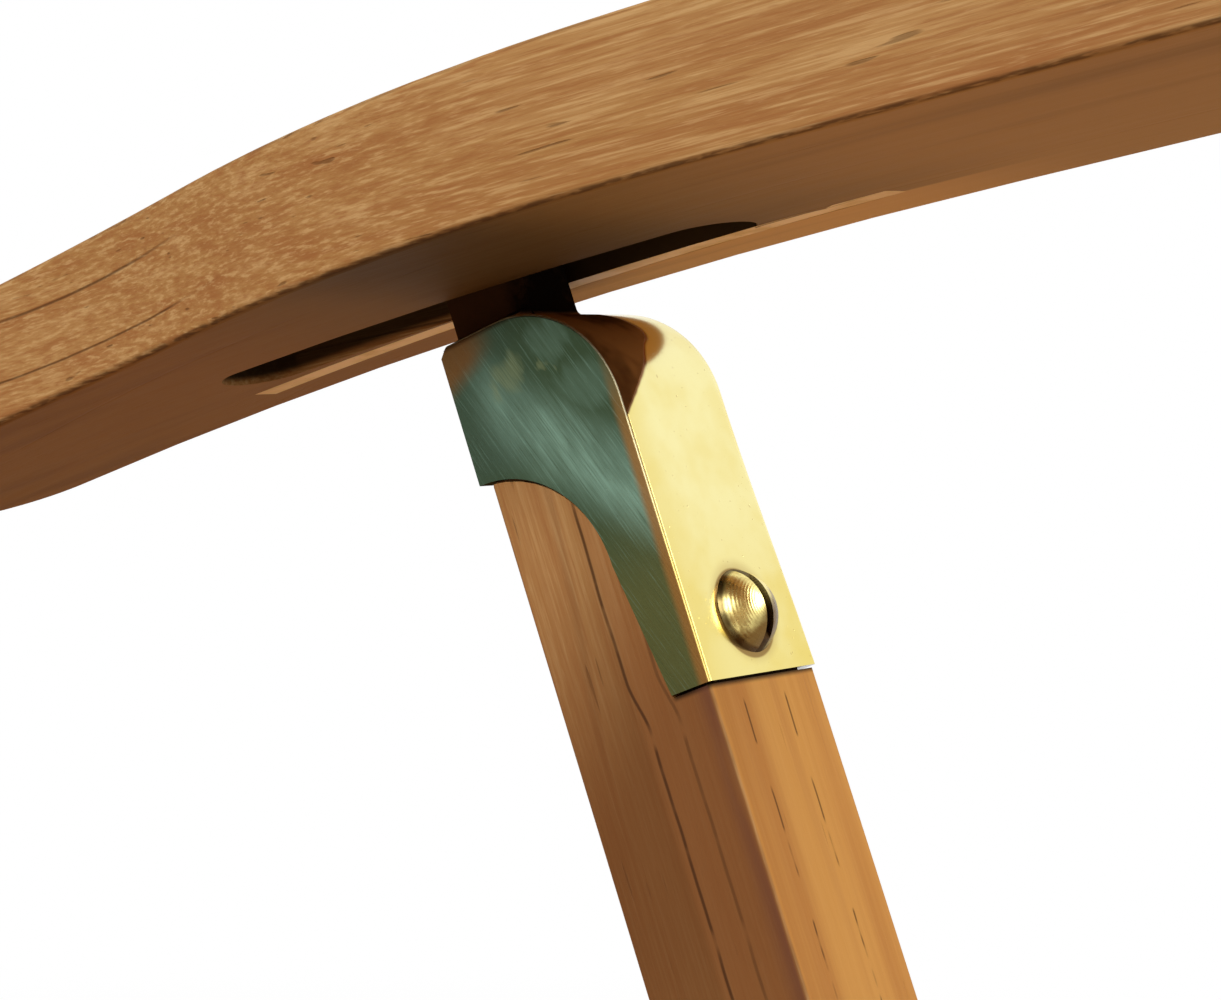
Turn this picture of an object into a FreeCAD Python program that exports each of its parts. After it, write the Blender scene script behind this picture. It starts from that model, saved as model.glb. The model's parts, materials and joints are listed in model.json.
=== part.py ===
import FreeCAD, Part
import math
import os

# Folding teak steamer chair with brass fittings, in millimetres.
# +Z is up, the sitter looks along -Y, and X runs across the chair.
# Side-view frames take their first axis towards the rear (or up the back) and their second axis
# a quarter turn further on, from +Y towards +Z.

V = FreeCAD.Vector

# Stance and angles in degrees
BACK_HINGE_HEIGHT = 370.0
LEG_LEAN = 21.0
ARM_SLOPE = 10.0
SEAT_SLOPE = 8.0
LEG_FOLDED_ANGLE = 7.5

# Where the arm rests on the leg, measured from the back hinge
TONGUE_FORWARD = 249.0
TONGUE_ABOVE = 205.0

# Widths across the chair, the rails' inner faces as a distance from the middle plane
STILE_THICK = 24.0
RAIL_INNER = 212.0
RAIL_THICK = 24.0
LEG_GAP = 3.0
INNER_LEG_THICK = 22.0
OUTER_LEG_THICK = 27.8
ARM_INNER_REACH = 41.9
ARM_WIDTH = 79.6

# Seat
RAIL_DEPTH = 56.0
RAIL_NOSE = 30.0
RAIL_TAIL = 90.0
HINGE_RISE = 72.0
SEAT_SLATS = 7
SEAT_SLAT_WIDTH = 46.0
SEAT_SLAT_THICK = 12.0
SEAT_SLAT_GAP = 16.0
SEAT_SLAT_START = 52.0
REAR_CROSS_SET = 62.0
REAR_CROSS_THICK = 22.0
FRONT_BAR_SET = 74.0
FRONT_BAR_THICK = 22.0

# Back
BACK_LENGTH = 700.0
STILE_DEPTH = 38.0
BACK_RAIL_THICK = 22.0
BACK_TOP_RAIL = 60.0
BACK_TOP_MARGIN = 24.0
BACK_BOTTOM_RAIL = 46.0
BACK_BOTTOM_SET = 52.0
BACK_SLATS = 6
BACK_SLAT_WIDTH = 44.0
BACK_SLAT_THICK = 10.0
BACK_SLAT_TENON = 8.0

# Arms
ARM_THICK = 22.0
ARM_FRONT = 150.0
ARM_TAIL = 46.0
ARM_BEND_START = 79.2
ARM_BEND_RADIUS = 1467.0
ARM_NOSE_RADIUS = 26.0
ARM_TAPER = 21.8
ARM_TAPER_START = 60.0
ARM_TAPER_RUN = 170.0
SLOT_FRONT = 58.3
SLOT_REAR = 47.7
SLOT_WIDTH = 15.9
STRIP_FRONT = 64.8
STRIP_REAR = 69.2
STRIP_SKEW = 3.0
STRIP_WIDTH = 5.0
STRIP_DEPTH = 4.0
RACK_THICK = 2.0
RACK_NOTCHES = 3
RACK_NOTCH_DEPTH = 1.2
RACK_PITCH = 26.0

# Leg cap, in the leg's own frame: e runs from the square plate to the strap, l runs up the leg
CAP_DEPTH = 30.0
CAP_TOP = 62.8
CAP_WALL = 2.2
CAP_PLATE = 1.8
CAP_PROUD = 0.3
CAP_JOINT = 0.4
CAP_CHEEK = 2.0
CAP_CORNER = 18.5
CAP_PLATE_FOOT = 40.5
CAP_CHEEK_FOOT = 7.3
CAP_CHEEK_WAIST = 10.6
CAP_NICK = 1.6
CAP_EDGE = 0.5
CAP_ROUND = 3.6
TONGUE_E = 8.1
TONGUE_LENGTH = 15.1
TONGUE_WIDTH = 11.4
TONGUE_SET = 4.8
TONGUE_FILLET = 1.5
SHOULDER_RISE = 1.4
CHORD_HEIGHT = 82.7
NOSE_CLEARANCE = 0.5

# Legs
SCISSOR_ARM = 110.0
INNER_LEG_DEPTH = 26.0
STRETCHER = 24.0
OUTER_STRETCHER_UP = 70.0
INNER_STRETCHER_UP = 44.0
TENON = 14.0
TENON_LENGTH = 12.0

# Footrest, its front measured forward of the back hinge along the seat
FOOTREST_FRONT = 945.0
FOOTREST_LAP = 20.0
FOOTREST_SIDE_GAP = 4.0
FOOTREST_RAIL_THICK = 20.0
FOOTREST_RAIL_DEPTH = 22.0
FOOTREST_SLATS = 4
FOOTREST_SLAT_WIDTH = 84.0
FOOTREST_SLAT_THICK = 10.0
FOOTREST_SLAT_GAP = 24.0
FOOTREST_LEG_SET = 45.0
FOOTREST_LEG_DEPTH = 20.0
FOOTREST_LEG_THICK = 20.0
FOOTREST_STRETCHER = 18.0
FOOTREST_STRETCHER_UP = 60.0
RUNNER_WIDTH = 18.0
RUNNER_DEPTH = 12.0
RUNNER_REAR = 60.0

# Metalwork
BOLT = 8.0
BOLT_HEAD = 18.0
BOLT_HEAD_HEIGHT = 5.0
PIVOT_HEAD = 34.0
PIVOT_HEAD_HEIGHT = 7.0
BOLT_SEAT = 18.0
ARM_BOLT_SEAT = 44.0
GUIDE_PIN = 10.0
GUIDE_PIN_REACH = 9.0
GUIDE_PIN_SEAT = 14.0
SLEEVE = 16.0
WASHER = 22.0
ARM_WASHER = 34.0
ARM_WASHER_THICK = 2.6
BRACKET_LENGTH = 60.0
BRACKET_BASE = 3.0
BRACKET_LUG = 4.0
BRACKET_EYE = 13.0
CAP_SCREW_HEAD = 13.0
CAP_SCREW_HEIGHT = 4.4
CAP_SCREW_UP = 9.6
CAP_SCREW_SHANK = 5.0
CAP_SCREW_LENGTH = 20.0
CAP_SCREW_SLOT = 1.7
CAP_SCREW_SLOT_DEPTH = 2.2
SLAT_SCREW_HEAD = 9.0
SLAT_SCREW_HEIGHT = 2.4
SLAT_SCREW_SHANK = 4.0
SLAT_SCREW_LENGTH = 30.0
SLAT_SCREW_SLOT = 1.2

# Fits and edges
PIN_FIT = 0.05
TONGUE_PLAY = 1.0
SIDE_GAP = 0.4
SLIDE_GAP = 0.3
FOLD_GAP = 1.0
EDGE = 2.5
SLAT_EDGE = 2.0
LEG_EDGE = 1.0
ARM_EDGE = 1.2
FIT_CHECK = 0.01


class SideFrame:
    """A flat frame in the side view, with its origin and first axis given in Y and Z."""

    def __init__(self, origin, angle):
        self.origin = origin
        self.angle = angle
        turn = math.radians(angle)
        self.first = V(0, math.cos(turn), math.sin(turn))
        self.second = V(0, -math.sin(turn), math.cos(turn))

    def at(self, first, second, x=0.0):
        """The point at the two frame coordinates, x across the chair."""
        return self.origin + self.first * first + self.second * second + V(x, 0, 0)

    def local(self, point):
        """The frame coordinates of a point."""
        offset = point - self.origin
        return offset.dot(self.first), offset.dot(self.second)


def prism(frame, start, steps, x0, x1):
    """Extrudes a side outline across the chair; a step is a point, or an arc's middle and end."""
    edges = []
    here = frame.at(*start, x=x0)
    for step in list(steps) + [start]:
        if isinstance(step[0], tuple):
            middle, end = frame.at(*step[0], x=x0), frame.at(*step[1], x=x0)
            edges.append(Part.Arc(here, middle, end).toShape())
        else:
            end = frame.at(*step, x=x0)
            if end.distanceToPoint(here) < FIT_CHECK:
                continue
            edges.append(Part.LineSegment(here, end).toShape())
        here = end
    return Part.Face(Part.Wire(edges)).extrude(V(x1 - x0, 0, 0))


def block(frame, a0, a1, b0, b1, x0, x1):
    """A plain block between two frame coordinates and two planes across the chair."""
    return prism(frame, (a0, b0), [(a1, b0), (a1, b1), (a0, b1)], x0, x1)


def eased(shape, radius=EDGE):
    """The shape with every edge rounded."""
    return shape.makeFillet(radius, shape.Edges)


def rod(point, x0, x1, diameter):
    """A round bar across the chair, centred on a side-view point."""
    return Part.makeCylinder(diameter / 2, x1 - x0, V(x0, point.y, point.z), V(1, 0, 0))


def turned(base, axis, head, height, shank, length):
    """A round-headed screw or bolt, with its domed head seated at a base point."""
    radius = (head ** 2 / 4 + height ** 2) / (2 * height)
    half_turn = math.asin(head / 2 / radius) / 2
    crown = V(radius * math.sin(half_turn), 0, height - radius * (1 - math.cos(half_turn)))
    foot, neck, rim, top = V(0, 0, -length), V(shank / 2, 0, 0), V(head / 2, 0, 0), V(0, 0, height)
    outline = [Part.LineSegment(foot, V(shank / 2, 0, -length)).toShape(),
               Part.LineSegment(V(shank / 2, 0, -length), neck).toShape(),
               Part.LineSegment(neck, rim).toShape(),
               Part.Arc(rim, crown, top).toShape(),
               Part.LineSegment(top, foot).toShape()]
    body = Part.Face(Part.Wire(outline)).revolve(V(0, 0, 0), V(0, 0, 1), 360)
    body.Placement = FreeCAD.Placement(base, FreeCAD.Rotation(V(0, 0, 1), axis))
    return body


def bolt(point, x_head, x_end, head=BOLT_HEAD, height=BOLT_HEAD_HEIGHT):
    """A coach bolt along X with a domed head seated at x_head."""
    outward = 1.0 if x_head > x_end else -1.0
    return turned(V(x_head, point.y, point.z), V(outward, 0, 0), head, height, BOLT, abs(x_head - x_end))


def pivot_bolt(point, x_end):
    """A bolt through a back stile, with a wide domed head on the stile's inner face."""
    return bolt(point, STILE_INNER - SIDE_GAP, x_end, PIVOT_HEAD, PIVOT_HEAD_HEIGHT)


def slat_screw(frame, place, level, x):
    """A small slotted screw driven square to a frame's top face at a level."""
    half = SLAT_SCREW_SLOT / 2
    reach = SLAT_SCREW_HEAD / 2
    crown = level + SLAT_SCREW_HEIGHT
    kerf = block(frame, place - half, place + half, crown - SLAT_SCREW_SLOT, crown, x - reach, x + reach)
    return turned(frame.at(place, level, x), frame.second, SLAT_SCREW_HEAD, SLAT_SCREW_HEIGHT,
                  SLAT_SCREW_SHANK, SLAT_SCREW_LENGTH).cut(kerf)


def slat_screw_hole(frame, place, level, x):
    """The bore for a small screw."""
    return Part.makeCylinder(SLAT_SCREW_SHANK / 2 + PIN_FIT, SLAT_SCREW_LENGTH + PIN_FIT,
                             frame.at(place, level, x), -frame.second)


def ring(point, x0, x1, outer):
    """A washer or sleeve across the chair, bored for a bolt."""
    return rod(point, x0, x1, outer).cut(rod(point, x0, x1, BOLT + 2 * PIN_FIT))


def bore(point, x0, x1, diameter=BOLT):
    """A running hole across the chair."""
    return rod(point, x0, x1, diameter + 2 * PIN_FIT)


def stretcher(point, reach, diameter):
    """A round cross bar between two legs, with a tenon at each end."""
    return rod(point, -reach, reach, diameter).fuse(
        rod(point, -reach - TENON_LENGTH, reach + TENON_LENGTH, TENON)).removeSplitter()


def mirrored(shape):
    """The same piece on the other side of the chair."""
    return shape.mirror(V(0, 0, 0), V(1, 0, 0))


def both(shapes):
    """A group of pieces on both sides of the chair."""
    return Part.makeCompound([piece for shape in shapes for piece in (shape, mirrored(shape))])


# Planes across the chair
RAIL_OUTER = RAIL_INNER + RAIL_THICK
INNER_LEG_IN = RAIL_OUTER + LEG_GAP
INNER_LEG_OUT = INNER_LEG_IN + INNER_LEG_THICK
OUTER_LEG_IN = INNER_LEG_OUT + LEG_GAP
OUTER_LEG_OUT = OUTER_LEG_IN + OUTER_LEG_THICK
LEG_MIDDLE = (OUTER_LEG_IN + OUTER_LEG_OUT) / 2
ARM_IN = OUTER_LEG_IN - ARM_INNER_REACH
ARM_OUT = ARM_IN + ARM_WIDTH
STILE_OUTER = ARM_IN - ARM_WASHER_THICK - 2 * SIDE_GAP
STILE_INNER = STILE_OUTER - STILE_THICK
FOOTREST_RAIL_OUTER = RAIL_INNER - FOOTREST_SIDE_GAP
FOOTREST_RAIL_INNER = FOOTREST_RAIL_OUTER - FOOTREST_RAIL_THICK
CAP_IN = OUTER_LEG_IN - CAP_PROUD
CAP_OUT = OUTER_LEG_OUT + CAP_PROUD
TONGUE_IN = CAP_IN + TONGUE_SET
TONGUE_OUT = TONGUE_IN + TONGUE_WIDTH
SLOT_IN = TONGUE_IN - TONGUE_PLAY
SLOT_OUT = SLOT_IN + SLOT_WIDTH

# Side-view frames. Equal reaches from the hinge to the tongue and to the arm's bolt
# make the arm turn by exactly half the back's turn.
HINGE = V(0, 0, BACK_HINGE_HEIGHT)
TONGUE = HINGE + V(0, -TONGUE_FORWARD, TONGUE_ABOVE)
REACH = math.hypot(TONGUE_FORWARD, TONGUE_ABOVE)
TONGUE_ANGLE = math.degrees(math.atan2(TONGUE_ABOVE, -TONGUE_FORWARD))
BACK_ANGLE = 2 * (90 + ARM_SLOPE) - TONGUE_ANGLE
seat = SideFrame(SideFrame(HINGE, -SEAT_SLOPE).at(0, -HINGE_RISE), -SEAT_SLOPE)
back = SideFrame(HINGE, BACK_ANGLE)
ARM_BOLT = back.at(REACH, 0)
arm = SideFrame(TONGUE, ARM_SLOPE)
ARM_BOLT_REACH = ARM_BOLT.distanceToPoint(TONGUE)
leg = SideFrame(SideFrame(TONGUE, LEG_LEAN).at(-TONGUE_E, -CHORD_HEIGHT), LEG_LEAN)

# Scissor of the legs: the outer leg turns on the rail, the inner leg slides on its guide pin
LEG_AXIS = CAP_DEPTH / 2
SCISSOR_ANGLE = 90 - LEG_LEAN - SEAT_SLOPE
axis_top = leg.at(LEG_AXIS, 0)
axis_rise = seat.local(axis_top)[1] / leg.second.dot(seat.second)
RAIL_PIVOT = axis_top - leg.second * axis_rise
CROSSING = RAIL_PIVOT - leg.second * SCISSOR_ARM
GUIDE_REST = 2 * SCISSOR_ARM * math.cos(math.radians(SCISSOR_ANGLE))
GUIDE_FOLDED = 2 * SCISSOR_ARM * math.cos(math.radians(LEG_FOLDED_ANGLE))
GUIDE = RAIL_PIVOT + seat.first * GUIDE_REST
inner = SideFrame(GUIDE, SCISSOR_ANGLE - SEAT_SLOPE - 90)

# Places along the seat, forward of the back hinge
RAIL_FRONT = SEAT_SLAT_START + SEAT_SLATS * (SEAT_SLAT_WIDTH + SEAT_SLAT_GAP) - SEAT_SLAT_GAP + RAIL_NOSE
FRONT_BAR_PLACE = RAIL_FRONT - FRONT_BAR_SET
FOOTREST_REAR = FRONT_BAR_PLACE - FOOTREST_LAP

nodes = {}


def add_pair(name, shape):
    """Stores a piece for the sitter's left and its mirror image for the right."""
    nodes[name + "_left"] = shape
    nodes[name + "_right"] = mirrored(shape)


def ground_cut(shape):
    """The shape with everything below the floor taken off."""
    box = shape.BoundBox
    below = Part.makeBox(box.XLength + 2 * EDGE, box.YLength + 2 * EDGE, BACK_HINGE_HEIGHT,
                         V(box.XMin - EDGE, box.YMin - EDGE, -BACK_HINGE_HEIGHT))
    return shape.cut(below)


def build_seat():
    """Side rails, cross pieces, slats, footrest runners and the back's hinge brackets."""
    half = RAIL_DEPTH / 2
    rail = eased(block(seat, -RAIL_FRONT, RAIL_TAIL, -half, half, RAIL_INNER, RAIL_OUTER))
    pivot_u = seat.local(RAIL_PIVOT)[0]
    groove_half = GUIDE_PIN / 2 + SLIDE_GAP
    groove_in = RAIL_OUTER - GUIDE_PIN_REACH - FOLD_GAP
    rail = rail.cut(block(seat, pivot_u + GUIDE_REST, pivot_u + GUIDE_FOLDED, -groove_half, groove_half,
                          groove_in, RAIL_OUTER))
    for end in (GUIDE_REST, GUIDE_FOLDED):
        rail = rail.cut(rod(seat.at(pivot_u + end, 0), groove_in, RAIL_OUTER, 2 * groove_half))
    rail = rail.cut(bore(RAIL_PIVOT, RAIL_OUTER - BOLT_SEAT, RAIL_OUTER))

    top = half + SEAT_SLAT_THICK
    across = (RAIL_INNER + RAIL_OUTER) / 2
    screws = []
    for index in range(SEAT_SLATS):
        near = -SEAT_SLAT_START - index * (SEAT_SLAT_WIDTH + SEAT_SLAT_GAP)
        slat = block(seat, near - SEAT_SLAT_WIDTH, near, half, top, -RAIL_OUTER, RAIL_OUTER)
        slat = eased(slat, SLAT_EDGE)
        spot = (seat, near - SEAT_SLAT_WIDTH / 2, top, across)
        hole = slat_screw_hole(*spot)
        slat = slat.cut(hole).cut(mirrored(hole))
        rail = rail.cut(hole)
        screws.append(slat_screw(*spot))
        nodes["seat_slat_%d" % (index + 1)] = slat
    nodes["seat_slat_screws"] = both(screws)

    nodes["rear_cross_rail"] = eased(
        block(seat, REAR_CROSS_SET - REAR_CROSS_THICK / 2, REAR_CROSS_SET + REAR_CROSS_THICK / 2,
              -half, half, -RAIL_INNER, RAIL_INNER))
    shelf = half - FOLD_GAP - FOOTREST_SLAT_THICK - FOOTREST_RAIL_DEPTH - SLIDE_GAP
    nodes["front_cross_bar"] = eased(
        block(seat, -FRONT_BAR_PLACE - FRONT_BAR_THICK / 2, -FRONT_BAR_PLACE + FRONT_BAR_THICK / 2,
              -half, shelf, -RAIL_INNER, RAIL_INNER))
    add_pair("footrest_runner", eased(
        block(seat, -FRONT_BAR_PLACE + FRONT_BAR_THICK / 2, -RUNNER_REAR, shelf - RUNNER_DEPTH, shelf,
              RAIL_INNER - RUNNER_WIDTH, RAIL_INNER), SLAT_EDGE))

    lug_in = STILE_OUTER + SIDE_GAP
    base = block(seat, -BRACKET_LENGTH / 2, BRACKET_LENGTH / 2, half, half + BRACKET_BASE,
                 RAIL_INNER, RAIL_OUTER)
    lug = prism(seat, (-BRACKET_EYE, half), [(BRACKET_EYE, half), (BRACKET_EYE, HINGE_RISE),
                ((0, HINGE_RISE + BRACKET_EYE), (-BRACKET_EYE, HINGE_RISE))], lug_in, lug_in + BRACKET_LUG)
    bracket = base.fuse(lug).removeSplitter().cut(bore(HINGE, lug_in, lug_in + BRACKET_LUG))
    bracket_screws = []
    screw_x = RAIL_INNER + SLAT_SCREW_HEAD / 2 + SIDE_GAP
    for side in (-1, 1):
        spot = (seat, side * (BRACKET_LENGTH / 2 - SLAT_SCREW_HEAD), half + BRACKET_BASE, screw_x)
        hole = slat_screw_hole(*spot)
        bracket = bracket.cut(hole)
        rail = rail.cut(hole)
        bracket_screws.append(slat_screw(*spot))
    nodes["hinge_bracket_screws"] = both(bracket_screws)
    add_pair("back_hinge_bracket", bracket)
    add_pair("seat_rail", rail)

    nodes["rail_pivot_bolts"] = both([bolt(RAIL_PIVOT, OUTER_LEG_OUT + SIDE_GAP, RAIL_OUTER - BOLT_SEAT)])
    nodes["rail_pivot_sleeves"] = both([ring(RAIL_PIVOT, RAIL_OUTER, OUTER_LEG_IN - SIDE_GAP, SLEEVE)])
    nodes["back_hinge_bolts"] = both([pivot_bolt(HINGE, lug_in + BRACKET_LUG)])


def build_back():
    """Stiles, top and bottom rails and upright slats of the back."""
    half = STILE_DEPTH / 2
    stile = eased(prism(back, (0, -half), [(BACK_LENGTH, -half), (BACK_LENGTH, half), (0, half),
                                           ((-half, 0), (0, -half))], STILE_INNER, STILE_OUTER))
    for point in (HINGE, ARM_BOLT):
        stile = stile.cut(bore(point, STILE_INNER, STILE_OUTER))
    add_pair("back_stile", stile)

    rail_half = BACK_RAIL_THICK / 2
    bottom_end = BACK_BOTTOM_SET + BACK_BOTTOM_RAIL
    top_end = BACK_LENGTH - BACK_TOP_MARGIN
    top_start = top_end - BACK_TOP_RAIL
    bottom_rail = eased(block(back, BACK_BOTTOM_SET, bottom_end, -rail_half, rail_half,
                              -STILE_INNER, STILE_INNER))
    top_rail = eased(block(back, top_start, top_end, -rail_half, rail_half, -STILE_INNER, STILE_INNER))
    gap = (2 * STILE_INNER - BACK_SLATS * BACK_SLAT_WIDTH) / (BACK_SLATS + 1)
    slat_half = BACK_SLAT_THICK / 2
    for index in range(BACK_SLATS):
        x0 = -STILE_INNER + gap + index * (BACK_SLAT_WIDTH + gap)
        slat = block(back, bottom_end - BACK_SLAT_TENON, top_start + BACK_SLAT_TENON, -slat_half, slat_half,
                     x0, x0 + BACK_SLAT_WIDTH)
        slat = eased(slat, SLAT_EDGE)
        bottom_rail = bottom_rail.cut(slat)
        top_rail = top_rail.cut(slat)
        nodes["back_slat_%d" % (index + 1)] = slat
    nodes["back_bottom_rail"] = bottom_rail
    nodes["back_top_rail"] = top_rail


def arm_plan(rear, floor, top):
    """The arm's outline from above: rounded at the front, its inner edge swung outward in two equal arcs."""
    half, sweep = ARM_TAPER / 2, ARM_TAPER_RUN / 2
    radius = (sweep ** 2 + half ** 2) / ARM_TAPER
    turn = math.asin(sweep / radius) / 2
    along, aside = radius * math.sin(turn), radius * (1 - math.cos(turn))
    start, end = ARM_TAPER_START, ARM_TAPER_START - ARM_TAPER_RUN
    nose = ARM_NOSE_RADIUS - ARM_FRONT
    shy = ARM_NOSE_RADIUS * (1 - math.sqrt(0.5))
    narrow = ARM_IN + ARM_TAPER

    def spot(place, x):
        """A point of the outline at its floor."""
        return arm.at(place, floor, x)

    stops = [(spot(start, ARM_IN),),
             (spot(start - along, ARM_IN + aside), spot(start - sweep, ARM_IN + half)),
             (spot(end + along, narrow - aside), spot(end, narrow)), (spot(nose, narrow),),
             (spot(shy - ARM_FRONT, narrow + shy), spot(-ARM_FRONT, narrow + ARM_NOSE_RADIUS)),
             (spot(-ARM_FRONT, ARM_OUT - ARM_NOSE_RADIUS),),
             (spot(shy - ARM_FRONT, ARM_OUT - shy), spot(nose, ARM_OUT)),
             (spot(rear, ARM_OUT),), (spot(rear, ARM_IN),)]
    last = spot(rear, ARM_IN)
    outline = []
    for stop in stops:
        edge = Part.LineSegment(last, stop[0]) if len(stop) == 1 else Part.Arc(last, *stop)
        outline.append(edge.toShape())
        last = stop[-1]
    return Part.Face(Part.Wire(outline)).extrude(arm.second * (top - floor))


def build_arms():
    """Bent arm boards with their slots, lining strips and notched racks, and the arm bolts."""
    low, high = -ARM_THICK / 2, ARM_THICK / 2

    def bent(level, place):
        """A point on the bent front stretch at a level, at a distance along the arm."""
        radius = ARM_BEND_RADIUS + level - high
        run = ARM_BEND_START - place
        return ARM_BEND_START - run, level - (radius - math.sqrt(radius ** 2 - run ** 2))

    tip = -ARM_FRONT - ARM_THICK
    middle = (ARM_BEND_START + tip) / 2
    rear = ARM_BOLT_REACH + ARM_TAIL
    board = prism(arm, (ARM_BEND_START, low),
                  [(rear - high, low), ((rear, 0), (rear - high, high)), (ARM_BEND_START, high),
                   (bent(high, middle), bent(high, tip)), bent(low, tip),
                   (bent(low, middle), (ARM_BEND_START, low))], ARM_IN - EDGE, ARM_OUT + EDGE)
    board = eased(board.common(arm_plan(rear + ARM_THICK, low - ARM_THICK, high + ARM_THICK)), ARM_EDGE)

    roof = -NOSE_CLEARANCE + SIDE_GAP + RACK_THICK
    deep = low - ARM_THICK
    radius = SLOT_WIDTH / 2
    front, end = -SLOT_FRONT + radius, SLOT_REAR - radius
    slot = block(arm, front, end, deep, roof, SLOT_IN, SLOT_OUT)
    for place in (front, end):
        centre = arm.at(place, deep, SLOT_IN + radius)
        slot = slot.fuse(Part.makeCylinder(radius, roof - deep, centre, arm.second))
    strip_top = low + STRIP_DEPTH
    strip = prism(arm, bent(low, -STRIP_FRONT),
                  [(bent(low, 0), bent(low, STRIP_REAR)), bent(strip_top, STRIP_REAR),
                   (bent(strip_top, 0), bent(strip_top, -STRIP_FRONT))], SLOT_OUT, SLOT_OUT + STRIP_WIDTH)
    strip.rotate(arm.at(0, low, SLOT_OUT), arm.second, STRIP_SKEW)
    board = board.cut(slot.removeSplitter()).cut(strip)
    board = board.cut(bore(ARM_BOLT, ARM_IN, ARM_IN + ARM_BOLT_SEAT))
    add_pair("arm", board)
    add_pair("slot_strip", strip)

    rack = block(arm, front, end, roof - RACK_THICK, roof, SLOT_IN, SLOT_OUT)
    notch_radius = TONGUE_LENGTH / 2
    for index in range(RACK_NOTCHES):
        place = (index - (RACK_NOTCHES - 1) / 2) * RACK_PITCH
        centre = arm.at(place, roof - RACK_THICK - notch_radius + RACK_NOTCH_DEPTH)
        rack = rack.cut(rod(centre, SLOT_IN, SLOT_OUT, 2 * notch_radius))
    add_pair("arm_rack", rack)

    nodes["arm_pivot_bolts"] = both([pivot_bolt(ARM_BOLT, ARM_IN + ARM_BOLT_SEAT - PIN_FIT)])
    nodes["arm_pivot_washers"] = both([ring(ARM_BOLT, STILE_OUTER + SIDE_GAP, ARM_IN - SIDE_GAP, ARM_WASHER)])


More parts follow.
